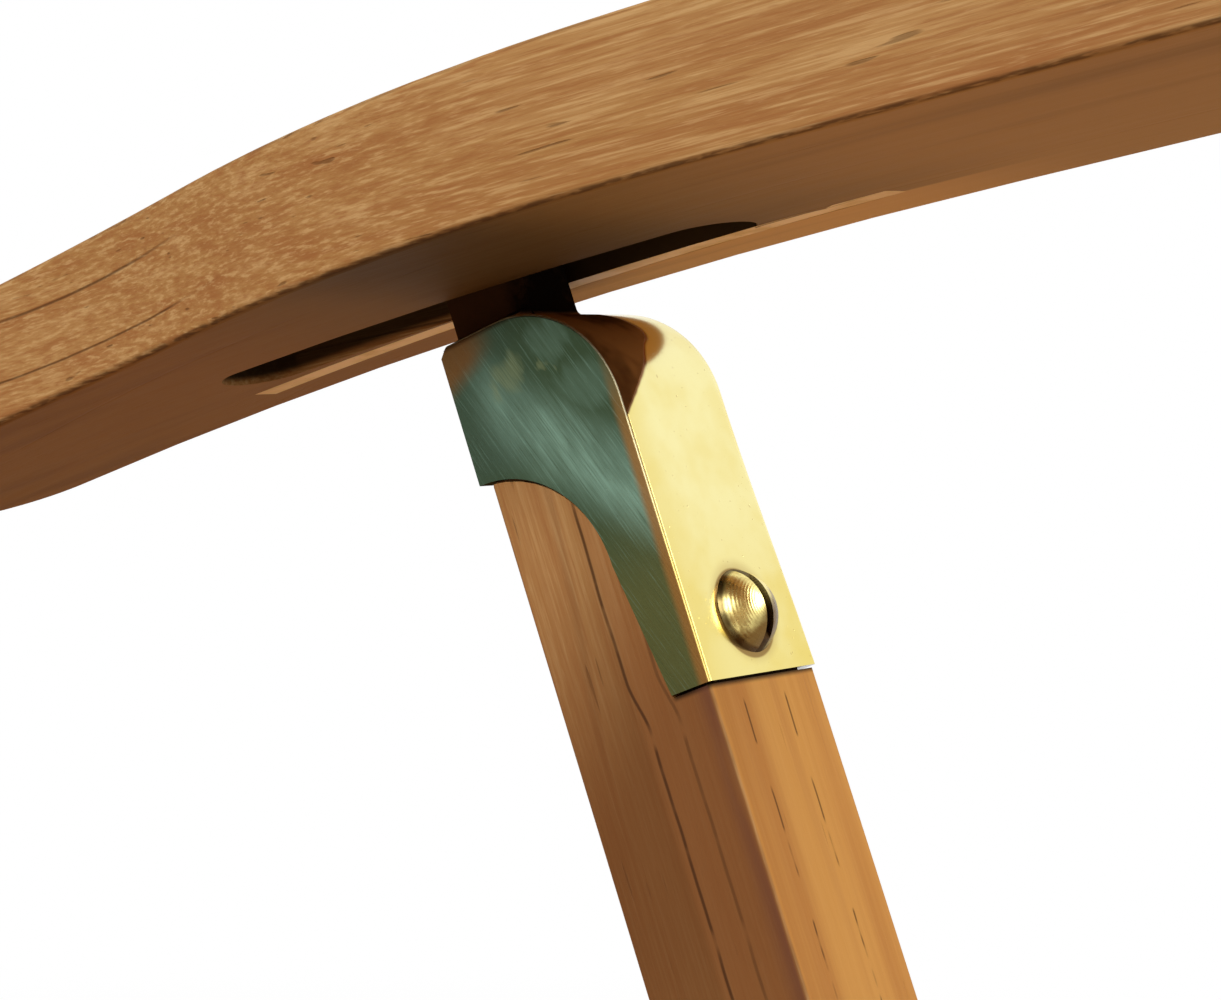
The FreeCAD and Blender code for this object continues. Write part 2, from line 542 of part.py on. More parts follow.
def build_outer_legs():
    """Legs that carry the arms, with their brass caps, screws, cross bar and crossing bolts."""
    slant = CAP_CORNER * math.sqrt(0.5)
    arch = CAP_DEPTH - CAP_CHEEK_WAIST
    waist = CAP_PLATE_FOOT - arch
    bend = arch * math.sqrt(0.5)
    roll_e, roll_l = CAP_DEPTH - CAP_CORNER, CAP_TOP - CAP_CORNER
    envelope = prism(leg, (0, CAP_PLATE_FOOT),
                     [(0, CAP_TOP - CAP_NICK), (CAP_NICK, CAP_TOP), (roll_e, CAP_TOP),
                      ((roll_e + slant, roll_l + slant), (CAP_DEPTH, roll_l)),
                      (CAP_DEPTH, 0), (CAP_DEPTH - CAP_CHEEK_FOOT, 0), (arch, waist),
                      ((bend, waist + bend), (0, CAP_PLATE_FOOT))], CAP_IN, CAP_OUT)

    def rim(shape, side):
        """The cap's edges along its strap, roll and top on one side."""
        edges = []
        for edge in shape.Edges:
            e, l = leg.local(edge.CenterOfMass)
            flat = abs(edge.BoundBox.XMin - side) + abs(edge.BoundBox.XMax - side) < FIT_CHECK
            if flat and (e > CAP_DEPTH - CAP_EDGE or l > roll_l + slant / 2 and e > CAP_NICK):
                edges.append(edge)
        return edges

    cap = envelope.makeFillet(CAP_EDGE, rim(envelope, CAP_IN))
    cap = cap.makeFillet(CAP_ROUND, CAP_EDGE, rim(cap, CAP_OUT))

    floor = -leg.origin.z / leg.second.z - CAP_DEPTH
    post = eased(block(leg, CAP_PLATE, CAP_DEPTH - CAP_PROUD, floor, CAP_PLATE_FOOT, OUTER_LEG_IN,
                       OUTER_LEG_OUT), LEG_EDGE)
    seating = envelope.copy()
    seating.translate(leg.second * -CAP_JOINT)
    far, wood_top, corner = CAP_DEPTH - CAP_WALL, CAP_TOP - CAP_WALL, CAP_CORNER - CAP_WALL
    inset = corner * (1 - math.sqrt(0.5))
    core = prism(leg, (CAP_PLATE, -CAP_DEPTH), [(far, -CAP_DEPTH), (far, wood_top - corner),
                 ((far - inset, wood_top - inset), (far - corner, wood_top)),
                 (CAP_PLATE, wood_top)], CAP_IN + CAP_CHEEK, CAP_OUT - CAP_CHEEK)
    wood = ground_cut(post).cut(envelope).cut(seating).fuse(core).removeSplitter()

    half = TONGUE_LENGTH / 2
    nose = CHORD_HEIGHT - NOSE_CLEARANCE - half
    tongue = prism(leg, (TONGUE_E - half, wood_top), [(TONGUE_E + half, wood_top), (TONGUE_E + half, nose),
                   ((TONGUE_E, nose + half), (TONGUE_E - half, nose))], TONGUE_IN, TONGUE_OUT)
    cap = cap.fuse(tongue).removeSplitter()
    root = []
    for edge in cap.Edges:
        e, l = leg.local(edge.CenterOfMass)
        across = edge.CenterOfMass.x - (TONGUE_IN + TONGUE_OUT) / 2
        if abs(e - TONGUE_E - half) < FIT_CHECK and abs(across) < FIT_CHECK and l < CAP_TOP:
            root.append(edge)
    cap = cap.makeFillet(TONGUE_FILLET, root)
    ramp_l = CAP_TOP - CAP_EDGE
    ramp = [leg.at(TONGUE_E - half, ramp_l, CAP_IN + CAP_PROUD), leg.at(TONGUE_E - half, ramp_l, TONGUE_IN),
            leg.at(TONGUE_E - half, CAP_TOP + SHOULDER_RISE, TONGUE_IN)]
    shoulder = Part.Face(Part.makePolygon(ramp + ramp[:1])).extrude(leg.first * TONGUE_LENGTH)
    cap = cap.fuse(shoulder).removeSplitter()

    spot = leg.at(CAP_DEPTH, CAP_SCREW_UP, LEG_MIDDLE)
    shaft = Part.makeCylinder(CAP_SCREW_SHANK / 2 + PIN_FIT, CAP_SCREW_LENGTH + PIN_FIT, spot, -leg.first)
    cap_screw = turned(spot, leg.first, CAP_SCREW_HEAD, CAP_SCREW_HEIGHT, CAP_SCREW_SHANK, CAP_SCREW_LENGTH)
    kerf_floor = CAP_DEPTH + CAP_SCREW_HEIGHT - CAP_SCREW_SLOT_DEPTH
    kerf = block(leg, kerf_floor, kerf_floor + CAP_SCREW_HEIGHT,
                 CAP_SCREW_UP - CAP_SCREW_HEAD, CAP_SCREW_UP + CAP_SCREW_HEAD,
                 LEG_MIDDLE - CAP_SCREW_SLOT / 2, LEG_MIDDLE + CAP_SCREW_SLOT / 2)
    nodes["cap_screws"] = both([cap_screw.cut(kerf)])
    add_pair("leg_cap", cap.cut(core).cut(shaft))

    bar_l = (OUTER_STRETCHER_UP - leg.origin.z) / leg.second.z
    bar = leg.at(LEG_AXIS, bar_l)
    wood = wood.cut(shaft).cut(bore(RAIL_PIVOT, OUTER_LEG_IN, OUTER_LEG_OUT))
    wood = wood.cut(bore(CROSSING, OUTER_LEG_IN, OUTER_LEG_OUT))
    add_pair("outer_leg", wood.cut(rod(bar, OUTER_LEG_IN, OUTER_LEG_IN + TENON_LENGTH, TENON)))
    nodes["outer_leg_stretcher"] = stretcher(bar, OUTER_LEG_IN, STRETCHER)
    nodes["crossing_bolts"] = both([bolt(CROSSING, OUTER_LEG_OUT, INNER_LEG_OUT - BOLT_SEAT + PIN_FIT)])
    nodes["crossing_washers"] = both([ring(CROSSING, INNER_LEG_OUT + SIDE_GAP, OUTER_LEG_IN, WASHER)])


def build_inner_legs():
    """Legs that cross under the seat, with their cross bar and guide pins."""
    half = INNER_LEG_DEPTH / 2
    floor = -inner.origin.z / inner.second.z - INNER_LEG_DEPTH
    wood = prism(inner, (-half, floor), [(half, floor), (half, 0), ((0, half), (-half, 0))],
                 INNER_LEG_IN, INNER_LEG_OUT)
    wood = ground_cut(eased(wood))
    wood = wood.cut(bore(CROSSING, INNER_LEG_OUT - BOLT_SEAT, INNER_LEG_OUT))
    wood = wood.cut(bore(GUIDE, INNER_LEG_IN, INNER_LEG_IN + GUIDE_PIN_SEAT, GUIDE_PIN))
    bar = inner.at(0, (INNER_STRETCHER_UP - inner.origin.z) / inner.second.z)
    add_pair("inner_leg", wood.cut(rod(bar, INNER_LEG_IN, INNER_LEG_IN + TENON_LENGTH, TENON)))
    nodes["inner_leg_stretcher"] = stretcher(bar, INNER_LEG_IN, STRETCHER)
    pin_tip, pin_root = RAIL_OUTER - GUIDE_PIN_REACH, INNER_LEG_IN + GUIDE_PIN_SEAT
    nodes["guide_pins"] = both([rod(GUIDE, pin_tip, pin_root, GUIDE_PIN)])


def build_footrest():
    """Sliding footrest with its slats and the leg frame that swings down at its front."""
    slat_base = RAIL_DEPTH / 2 - FOLD_GAP - FOOTREST_SLAT_THICK
    rail_base = slat_base - FOOTREST_RAIL_DEPTH
    knuckle = seat.at(-FOOTREST_FRONT + FOOTREST_LEG_SET, (slat_base + rail_base) / 2)
    leg_out = FOOTREST_RAIL_INNER - SIDE_GAP
    leg_in = leg_out - FOOTREST_LEG_THICK
    rail = eased(block(seat, -FOOTREST_FRONT, -FOOTREST_REAR, rail_base, slat_base,
                       FOOTREST_RAIL_INNER, FOOTREST_RAIL_OUTER))
    add_pair("footrest_rail", rail.cut(bore(knuckle, FOOTREST_RAIL_INNER, FOOTREST_RAIL_OUTER)))
    for index in range(FOOTREST_SLATS):
        front = -FOOTREST_FRONT + index * (FOOTREST_SLAT_WIDTH + FOOTREST_SLAT_GAP)
        nodes["footrest_slat_%d" % (FOOTREST_SLATS - index)] = eased(
            block(seat, front, front + FOOTREST_SLAT_WIDTH, slat_base, slat_base + FOOTREST_SLAT_THICK,
                  -FOOTREST_RAIL_OUTER, FOOTREST_RAIL_OUTER), SLAT_EDGE)

    upright = SideFrame(knuckle, 0)
    half = FOOTREST_LEG_DEPTH / 2
    post = eased(prism(upright, (-half, -knuckle.z),
                       [(half, -knuckle.z), (half, 0), ((0, half), (-half, 0))], leg_in, leg_out))
    post = post.cut(bore(knuckle, leg_in, leg_out))
    bar = upright.at(0, FOOTREST_STRETCHER_UP - knuckle.z)
    add_pair("footrest_leg", post.cut(rod(bar, leg_in, leg_in + TENON_LENGTH, TENON)))
    nodes["footrest_leg_stretcher"] = stretcher(bar, leg_in, FOOTREST_STRETCHER)
    nodes["footrest_leg_bolts"] = both([bolt(knuckle, leg_in, FOOTREST_RAIL_OUTER - FOLD_GAP)])
    return knuckle


build_seat()
build_back()
build_arms()
build_outer_legs()
build_inner_legs()
knuckle = build_footrest()

# The origin goes to the middle of the footprint, on the floor
whole = Part.makeCompound(list(nodes.values())).optimalBoundingBox()
shift = V(-whole.Center.x, -whole.Center.y, -whole.ZMin)

os.makedirs("parts", exist_ok=True)
for name, shape in nodes.items():
    shape.translate(shift)
    shape.exportStep("parts/%s.step" % name)

# Pivot points and feet, as they stand after the shift
outer_foot = leg.at(LEG_AXIS, -axis_top.z / leg.second.z, LEG_MIDDLE)
inner_foot = inner.at(0, -GUIDE.z / inner.second.z, (INNER_LEG_IN + INNER_LEG_OUT) / 2)
for label, point in (("hinge", HINGE), ("arm_bolt", ARM_BOLT), ("rail_pivot", RAIL_PIVOT),
                     ("crossing", CROSSING), ("guide", GUIDE), ("knuckle", knuckle), ("tongue", TONGUE),
                     ("outer_foot", outer_foot), ("inner_foot", inner_foot)):
    print(label, [round(value, 3) for value in point + shift])
print("size", round(whole.XLength, 2), round(whole.YLength, 2), round(whole.ZLength, 2))
print("back angle", round(BACK_ANGLE, 3), "scissor angle", round(SCISSOR_ANGLE, 3))
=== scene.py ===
"""Dresses a folding teak steamer chair, with brass-capped legs, around its packed construction."""

from __future__ import annotations

import json
import logging
import math
from dataclasses import dataclass, field
from enum import Enum
from typing import Any, Optional, Protocol, Sequence, Union

import bpy
from mathutils import Matrix, Vector

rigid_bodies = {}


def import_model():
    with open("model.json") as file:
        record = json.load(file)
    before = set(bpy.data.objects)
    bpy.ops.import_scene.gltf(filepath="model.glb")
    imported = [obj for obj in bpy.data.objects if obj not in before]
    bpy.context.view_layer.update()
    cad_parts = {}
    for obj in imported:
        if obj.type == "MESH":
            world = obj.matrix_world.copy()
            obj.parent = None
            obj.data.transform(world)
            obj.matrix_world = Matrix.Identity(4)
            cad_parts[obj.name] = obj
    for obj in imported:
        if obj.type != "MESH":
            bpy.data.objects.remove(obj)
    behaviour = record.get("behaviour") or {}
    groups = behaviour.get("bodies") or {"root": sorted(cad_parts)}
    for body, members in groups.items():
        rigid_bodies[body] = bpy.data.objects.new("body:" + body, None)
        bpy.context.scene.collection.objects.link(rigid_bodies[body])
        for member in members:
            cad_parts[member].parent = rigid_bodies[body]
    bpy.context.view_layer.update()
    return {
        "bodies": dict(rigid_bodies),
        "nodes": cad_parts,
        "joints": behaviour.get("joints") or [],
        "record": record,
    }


log = logging.getLogger("steamer_chair")

PHOTO_WIDTH = 1221
SENSOR_WIDTH = 36.0

# A colour in linear light; the value where a soft step is 0 and the one where it is 1; a spot and its radius.
Colour = tuple[float, float, float]
Span = tuple[float, float]
Spot = tuple[float, float, float]

WHITE: Colour = (1.0, 1.0, 1.0)
BLACK: Colour = (0.0, 0.0, 0.0)

# The mean of a noise and of the random number that each piece has.
MEAN = 0.5


def shifted(level: float, span: Span) -> Span:
    """A span that is measured from a level."""
    return level + span[0], level + span[1]


@dataclass(frozen=True)
class Cloud:
    """Cloudy noise: cells per metre along each axis, octaves, and spans for its high and its low patches."""

    scale: tuple[float, float, float]
    detail: float = 2.0
    roughness: float = 0.5
    high: Span = (0.0, 1.0)
    low: Span = (1.0, 0.0)


@dataclass(frozen=True)
class Wire:
    """One output of a node graph, so that shader maths reads as Python expressions."""

    graph: "Graph"
    socket: bpy.types.NodeSocket

    def _math(self, operation: str, first: Operand, second: Operand = 0.0) -> Wire:
        """Adds a Math node for two operands."""
        return self.graph.node("Math", {"operation": operation}, {0: first, 1: second})

    def __add__(self, other: Operand) -> Wire:
        """The sum."""
        return self._math("ADD", self, other)

    def __radd__(self, other: Operand) -> Wire:
        """The sum, with the number first."""
        return self._math("ADD", other, self)

    def __sub__(self, other: Operand) -> Wire:
        """The difference."""
        return self._math("SUBTRACT", self, other)

    def __rsub__(self, other: Operand) -> Wire:
        """The difference, with the number first."""
        return self._math("SUBTRACT", other, self)

    def __mul__(self, other: Operand) -> Wire:
        """The product."""
        return self._math("MULTIPLY", self, other)

    def __rmul__(self, other: Operand) -> Wire:
        """The product, with the number first."""
        return self._math("MULTIPLY", other, self)

    def __truediv__(self, other: Operand) -> Wire:
        """The quotient."""
        return self._math("DIVIDE", self, other)

    def __rtruediv__(self, other: Operand) -> Wire:
        """The quotient, with the number first."""
        return self._math("DIVIDE", other, self)

    def __pow__(self, other: Operand) -> Wire:
        """The power."""
        return self._math("POWER", self, other)

    def __abs__(self) -> Wire:
        """The size without its sign."""
        return self._math("ABSOLUTE", self)

    def larger(self, other: Operand) -> Wire:
        """The larger of the two."""
        return self._math("MAXIMUM", self, other)

    def fraction(self) -> Wire:
        """The part after the point."""
        return self._math("FRACT", self)

    def reach(self, other: Wire) -> Wire:
        """The distance from the origin, by this coordinate and one at right angles to it."""
        return (self * self + other * other) ** 0.5

    def step(self, span: Span) -> Wire:
        """A smooth step.

        Args:
            span: The value where the step is 0 and the one where it is 1. The second may be the smaller.

        Returns:
            A wire from 0 to 1.
        """
        return self.graph.node("MapRange", {"interpolation_type": "SMOOTHSTEP", "clamp": True},
                               {"Value": self, "From Min": span[0], "From Max": span[1]})

    def between(self, start: Span, end: Span) -> Wire:
        """Two smooth steps multiplied, the first up and the second down again."""
        return self.step(start) * self.step(end)


Operand = Union[Wire, float]


class Graph:
    """The node graph of one material or of the world."""

    def __init__(self, tree: bpy.types.NodeTree) -> None:
        """Takes over a node tree and empties it.

        Args:
            tree: The tree of a material or a world that uses nodes.
        """
        self.tree = tree
        tree.nodes.clear()

    @classmethod
    def of_material(cls, name: str) -> tuple[bpy.types.Material, Graph]:
        """Makes a material with an empty graph.

        Args:
            name: The material's name.

        Returns:
            The material and its graph.
        """
        material = bpy.data.materials.new(name)
        material.use_nodes = True
        return material, cls(material.node_tree)

    def node(self, kind: str, settings: Optional[dict[str, Any]] = None,
             sockets: Optional[dict[Union[str, int], Any]] = None, output: Union[str, int] = 0) -> Wire:
        """Adds a node of any kind.

        Args:
            kind: The node's type, without its ShaderNode prefix.
            settings: Properties of the node, set first.
            sockets: Values or wires for the inputs, by name or number.
            output: The output that the wire stands for.

        Returns:
            The wire of that output.
        """
        made = self.tree.nodes.new("ShaderNode" + kind)
        for name, value in (settings or {}).items():
            setattr(made, name, value)
        for name, value in (sockets or {}).items():
            target = made.inputs[name]
            if isinstance(value, Wire):
                self.tree.links.new(value.socket, target)
            elif target.type == "RGBA" and len(value) == 3:
                target.default_value = (*value, 1.0)
            else:
                target.default_value = value
        return Wire(self, made.outputs[output] if made.outputs else None)

    def vector(self, operation: str, first: Any, second: Any) -> Wire:
        """Vector maths on two vectors."""
        return self.node("VectorMath", {"operation": operation}, {0: first, 1: second})

    def dot(self, first: Any, second: Any) -> Wire:
        """The dot product of two vectors, as a value."""
        return self.node("VectorMath", {"operation": "DOT_PRODUCT"}, {0: first, 1: second}, "Value")

    def axes(self, vector: Wire) -> tuple[Wire, Wire, Wire]:
        """The three parts of a vector."""
        apart = self.node("SeparateXYZ", sockets={0: vector}).socket.node
        return Wire(self, apart.outputs[0]), Wire(self, apart.outputs[1]), Wire(self, apart.outputs[2])

    def mix(self, share: Operand, first: Any, second: Any) -> Wire:
        """Mixes two colours.

        Args:
            share: How much of the second colour.
            first: A colour or its wire.
            second: A colour or its wire.

        Returns:
            The mixed colour.
        """
        return self.node("Mix", {"data_type": "RGBA", "blend_type": "MIX"},
                         {0: share, 6: first, 7: second}, 2)

    def coats(self, ground: Any, layers: Sequence[tuple[Operand, Any]]) -> Wire:
        """Lays colours over a ground, one after another.

        Args:
            ground: A colour or its wire.
            layers: How much of each colour is laid on, and the colour.

        Returns:
            The colour on top.
        """
        for share, colour in layers:
            ground = self.mix(share, ground, colour)
        return ground

    def noise(self, place: Wire, cloud: Cloud) -> Wire:
        """Cloudy noise, stretched by a different scale along each axis.

        Args:
            place: The position, in metres.
            cloud: The noise's scales and octaves.

        Returns:
            The noise, from 0 to 1.
        """
        stretched = self.vector("MULTIPLY", place, cloud.scale)
        return self.node("TexNoise", sockets={"Vector": stretched, "Scale": 1.0, "Detail": cloud.detail,
                                              "Roughness": cloud.roughness})

    def patches(self, place: Wire, cloud: Cloud) -> Wire:
        """1 on the high patches of a noise and 0 elsewhere."""
        return self.noise(place, cloud).step(cloud.high)

    def surface(self, sockets: dict[str, Any], height: Wire, depth: float) -> None:
        """Closes a material's graph with a principled surface.

        Args:
            sockets: The surface's values and wires.
            height: A relief, from 0 to 1.
            depth: The relief's depth in metres.
        """
        bump = self.node("Bump", sockets={"Strength": 1.0, "Distance": depth, "Height": height})
        shader = self.node("BsdfPrincipled", sockets={**sockets, "Normal": bump})
        self.node("OutputMaterial", sockets={"Surface": shader})


class Grain(Enum):
    """The way that the grain of a piece runs, as turns that bring it to the Y axis, in degrees."""

    ACROSS = (0.0, 0.0, 90.0)
    SEAT = (8.0, 0.0, 0.0)
    BACK = (-59.464, 0.0, 0.0)
    ARM = (-10.0, 0.0, 0.0)
    OUTER_LEG = (-111.0, 0.0, 0.0)
    INNER_LEG = (-53.0, 0.0, 0.0)
    UPRIGHT = (-90.0, 0.0, 0.0)

    def turn(self) -> tuple[float, float, float]:
        """The turns in radians."""
        return tuple(math.radians(angle) for angle in self.value)


@dataclass(frozen=True)
class SideFrame:
    """A frame in the side view, as the construction has it: its first axis leans back from +Y towards +Z."""

    origin: Vector
    angle: float

    @property
    def first(self) -> Vector:
        """The axis that leans back."""
        return Vector((0.0, math.cos(math.radians(self.angle)), math.sin(math.radians(self.angle))))

    @property
    def second(self) -> Vector:
        """The axis a quarter turn further on."""
        return Vector((0.0, -math.sin(math.radians(self.angle)), math.cos(math.radians(self.angle))))

    def measure(self, graph: Graph, place: Wire) -> tuple[Wire, Wire]:
        """The two frame coordinates of a place.

        Args:
            graph: The graph to add to.
            place: The position, in metres.

        Returns:
            The distances along the first and second axis.
        """
        return (graph.dot(place, tuple(self.first)) - self.origin.dot(self.first),
                graph.dot(place, tuple(self.second)) - self.origin.dot(self.second))


@dataclass(frozen=True)
class WoodPoint:
    """A point of a piece of wood: its position, that turned along the grain, and that moved by chance."""

    graph: Graph
    rest: Wire
    turned: Wire
    place: Wire
    chance: Wire


@dataclass(frozen=True)
class Teak:
    """Oiled teak, with growth rings, flecks, pores and soiled edges."""

    name: str
    grain: Grain
    light: Colour = (0.500, 0.275, 0.102)
    middle: Colour = (0.420, 0.212, 0.070)
    red: Colour = (0.350, 0.140, 0.046)
    pale: Colour = (0.640, 0.400, 0.175)
    dark: Colour = (0.065, 0.026, 0.010)
    piece_shift: tuple[float, float, float] = (0.9, 7.0, 0.7)

    # Bands, streaks, flecks and pores along the grain, and the soil on the edges.
    tone: Cloud = Cloud((30.0, 2.4, 30.0), 3.0, high=(0.32, 0.68))
    band: Cloud = Cloud((360.0, 11.0, 360.0), 4.0, 0.62, high=(0.47, 0.70), low=(0.47, 0.28))
    streak: Cloud = Cloud((1700.0, 48.0, 1700.0), 3.0, 0.6, high=(0.50, 0.66), low=(0.50, 0.34))
    fleck: Cloud = Cloud((2300.0, 190.0, 2300.0), 3.0, 0.6, high=(0.54, 0.76), low=(0.46, 0.26))
    pore: Cloud = Cloud((1000.0, 62.0, 1000.0), 1.0, high=(0.71, 0.77))
    soil: Cloud = Cloud((700.0, 160.0, 700.0), high=(0.38, 0.62))
    red_band: float = 0.70
    pale_band: float = 0.50
    band_share: float = 1.0
    streak_share: float = 0.30
    fleck_share: float = 0.42
    pore_share: float = 0.45
    soil_share: float = 0.26
    edge_turn: Span = (0.97, 0.84)

    # Growth rings about a line along the grain, which is moved from piece to piece.
    pith: float = 0.11
    pith_drop: float = 0.7
    ring_pitch: float = 0.0095
    ring_shift: float = 9.0
    sway: Cloud = Cloud((14.0, 2.2, 14.0))
    sway_depth: float = 0.026
    late_start: Span = (0.40, 0.97)
    late_end: Span = (1.0, 0.985)
    late_share: float = 0.28
    vein_start: Span = (0.925, 0.955)
    vein_end: Span = (0.990, 0.965)
    vein_patch: Cloud = Cloud((50.0, 6.0, 50.0), high=(0.52, 0.62))
    vein_share: float = 0.70

    # Gloss and relief.
    specular: float = 0.14
    roughness: float = 0.58
    relief_depth: float = 0.00016

    def make(self) -> bpy.types.Material:
        """Makes the material.

        Returns:
            The teak, with its grain along the piece.
        """
        material, graph = Graph.of_material(self.name)
        rest = graph.node("TexCoord", output="Object")
        chance = graph.node("ObjectInfo", output="Random")
        turned = graph.node("Mapping", {"vector_type": "POINT"},
                            {"Vector": rest, "Rotation": self.grain.turn()})
        shift = graph.node("CombineXYZ", sockets={
            axis: chance * size for axis, size in zip("XYZ", self.piece_shift)})
        place = graph.vector("ADD", turned, shift)
        at = WoodPoint(graph, rest, turned, place, chance)

        late, vein = self._rings(at)
        band = graph.noise(place, self.band)
        streak = graph.noise(place, self.streak)
        fleck = graph.noise(place, self.fleck)
        pore = graph.patches(place, self.pore)
        soil = self._arris(graph) * graph.patches(place, self.soil)
        colour = graph.mix(graph.patches(place, self.tone), self.light, self.middle)
        colour = graph.coats(colour, (
            (late * self.late_share, self.red),
            (band.step(self.band.high) * (self.red_band * self.band_share), self.red),
            (band.step(self.band.low) * (self.pale_band * self.band_share), self.pale),
            (streak.step(self.streak.high) * self.streak_share, self.red),
            (streak.step(self.streak.low) * self.streak_share, self.pale),
            (fleck.step(self.fleck.high) * self.fleck_share, self.pale),
            (fleck.step(self.fleck.low) * self.fleck_share, self.red),
            (pore * self.pore_share, self.dark),
            (vein * self.vein_share, self.dark),
            (soil * self.soil_share, self.dark)))
        colour = self.tint(at, colour)

        relief = 0.6 + fleck * 0.4 - pore * 0.5 - vein * 0.4
        roughness = self.roughness + fleck * 0.10 + band * 0.12
        graph.surface({"Base Color": colour, "Roughness": roughness, "Specular IOR Level": self.specular},
                      relief, self.relief_depth)
        return material

    def tint(self, at: WoodPoint, colour: Wire) -> Wire:
        """Adds what is special to one kind of piece; plain teak has nothing to add."""
        return colour

    def _rings(self, at: WoodPoint) -> tuple[Wire, Wire]:
        """Draws the growth rings.

        Args:
            at: The point of the wood.

        Returns:
            How late the wood is in its year, and the dark lines that end some years.
        """
        sway = at.graph.noise(at.place, self.sway) - MEAN
        x, _, z = at.graph.axes(at.turned)
        off_x = x - self.pith * (at.chance - MEAN)
        off_z = z + self.pith * (self.pith_drop + at.chance)
        radius = off_x.reach(off_z) + sway * self.sway_depth
        ring = (radius / self.ring_pitch + at.chance * self.ring_shift).fraction()
        vein = ring.between(self.vein_start, self.vein_end) * at.graph.patches(at.place, self.vein_patch)
        return ring.between(self.late_start, self.late_end), vein

    def _arris(self, graph: Graph) -> Wire:
        """Finds the rounded edges.

        Args:
            graph: The graph to add to.

        Returns:
            1 on the edges and 0 on the flat faces.
        """
        normal = graph.node("TexCoord", output="Normal")
        facing = graph.node("Mapping", {"vector_type": "NORMAL"},
                            {"Vector": normal, "Rotation": self.grain.turn()})
        x, y, z = (abs(part) for part in graph.axes(facing))
        return x.larger(y).larger(z).step(self.edge_turn)


@dataclass(frozen=True, kw_only=True)
class ArmTeak(Teak):
    """Teak of the arm boards: an underside with painted shade, darkest about the slot, edges with grit and a
    painted shadow line, and a slot painted black as shade.
    """

    frame: SideFrame
    streak_share: float = 0.60
    specular: float = 0.03

    # The underside, painted as shade: darker towards the front and darkest near the leg on its inner side,
    # with a lip painted pale as light on the outer one.
    under_front: Colour = (0.310, 0.122, 0.027)
    under_rear: Colour = (0.480, 0.225, 0.066)
    under_dark: Colour = (0.205, 0.098, 0.026)
    under_black: Colour = (0.078, 0.038, 0.011)
    lip: Colour = (0.760, 0.345, 0.098)
    under_face: Span = (-0.45, -0.90)
    under_share: float = 0.94
    front_to_rear: Span = (-0.03, 0.05)
    oiled_middle: float = 0.024
    oiled_reach: Span = (0.078, 0.008)
    oiled_wander: float = 0.03
    oiled_share: float = 0.95
    sooty_middle: float = 0.022
    deep_shade_reach: Span = (0.034, 0.006)
    deep_shade_share: float = 0.80
    lip_side: Span = (0.00795, 0.00945)
    lip_front: Span = (-0.02, 0.02)
    lip_rear: Span = (0.100, 0.055)
    lip_share: float = 0.80
    smooth: Cloud = Cloud((90.0, 4.0, 90.0), 3.0)
    smooth_dark: Span = (0.02, 0.20)
    smooth_share: float = 0.25

    # The rough edges between the underside and the sides, darkened by grit and a painted shadow line.
    edge_start: Span = (-0.20, -0.60)
    edge_end: Span = (-0.97, -0.80)
    grit_and_shadow: Cloud = Cloud((1900.0, 330.0, 1900.0), high=(0.36, 0.58))
    edge_least: float = 0.25
    edge_grit: float = 0.45

    # The slot, in a board that bends down towards its front, painted near-black as shade.
    black: Colour = (0.009, 0.006, 0.003)
    black_share: float = 0.95
    half_thick: float = 0.011
    bend_start: float = 0.0792
    bend_radius: float = 1.445
    slot_middle: float = 0.27545
    slot_side: Span = (0.00855, 0.00785)
    slot_front: Span = (-0.0591, -0.0583)
    slot_rear: Span = (0.0485, 0.0477)
    slot_mouth: Span = (0.0001, 0.0016)
    slot_roof: Span = (0.0029, 0.0022)

    def tint(self, at: WoodPoint, colour: Wire) -> Wire:
        """Paints shade on the underside, a painted shadow line with grit along its edges, and painted shade
        that blackens the slot.

        Args:
            at: The point of the wood.
            colour: The teak's colour so far.

        Returns:
            The colour.
        """
        graph = at.graph
        run, rise = self.frame.measure(graph, at.rest)
        across = abs(graph.axes(at.rest)[0]) - self.slot_middle
        down = graph.dot(graph.node("TexCoord", output="Normal"), tuple(self.frame.second))
        # A painted shadow line along the edges, broken up by grit.
        grit_and_shadow = self.edge_least + graph.patches(at.place, self.grit_and_shadow) * self.edge_grit
        bent = (self.bend_start - run).larger(0.0)
        height = rise + self.half_thick + bent * bent / (2.0 * self.bend_radius)
        inside = height.step(self.slot_mouth) * rise.step(self.slot_roof)
        slot = abs(across).step(self.slot_side) * run.between(self.slot_front, self.slot_rear) * inside
        # The underside gets painted shade, its edges a painted shadow line with grit, and the slot is painted
        # black as shade.
        return graph.coats(colour, (
            (down.step(self.under_face) * self.under_share, self._underside(at, run, across)),
            (down.between(self.edge_start, self.edge_end) * grit_and_shadow, self.dark),
            (slot * self.black_share, self.black)))

    def _underside(self, at: WoodPoint, run: Wire, across: Wire) -> Wire:
        """Colours the underside with painted shade and a lip painted pale as light.

        Args:
            at: The point of the wood.
            run: The distance along the arm from its rest on the leg, towards the rear.
            across: The distance out from the slot's middle.

        Returns:
            The colour.
        """
        smooth = at.graph.noise(at.place, self.smooth) - MEAN
        outer = across.step(self.lip_side)
        inner = 1.0 - outer
        under_shade = (abs(run - self.oiled_middle) + smooth * self.oiled_wander).step(self.oiled_reach)
        deep_shade = abs(run - self.sooty_middle).step(self.deep_shade_reach)
        lip = outer * run.step(self.lip_front) * run.step(self.lip_rear)
        # Painted shade, darker at the front and darkest near the leg on the inner side, and painted light on
        # the outer lip.
        return at.graph.coats(self.under_front, (
            (run.step(self.front_to_rear), self.under_rear),
            (under_shade * inner * self.oiled_share, self.under_dark),
            (deep_shade * inner * self.deep_shade_share, self.under_black),
            (lip * self.lip_share, self.lip),
            (smooth.step(self.smooth_dark) * self.smooth_share, self.dark)))


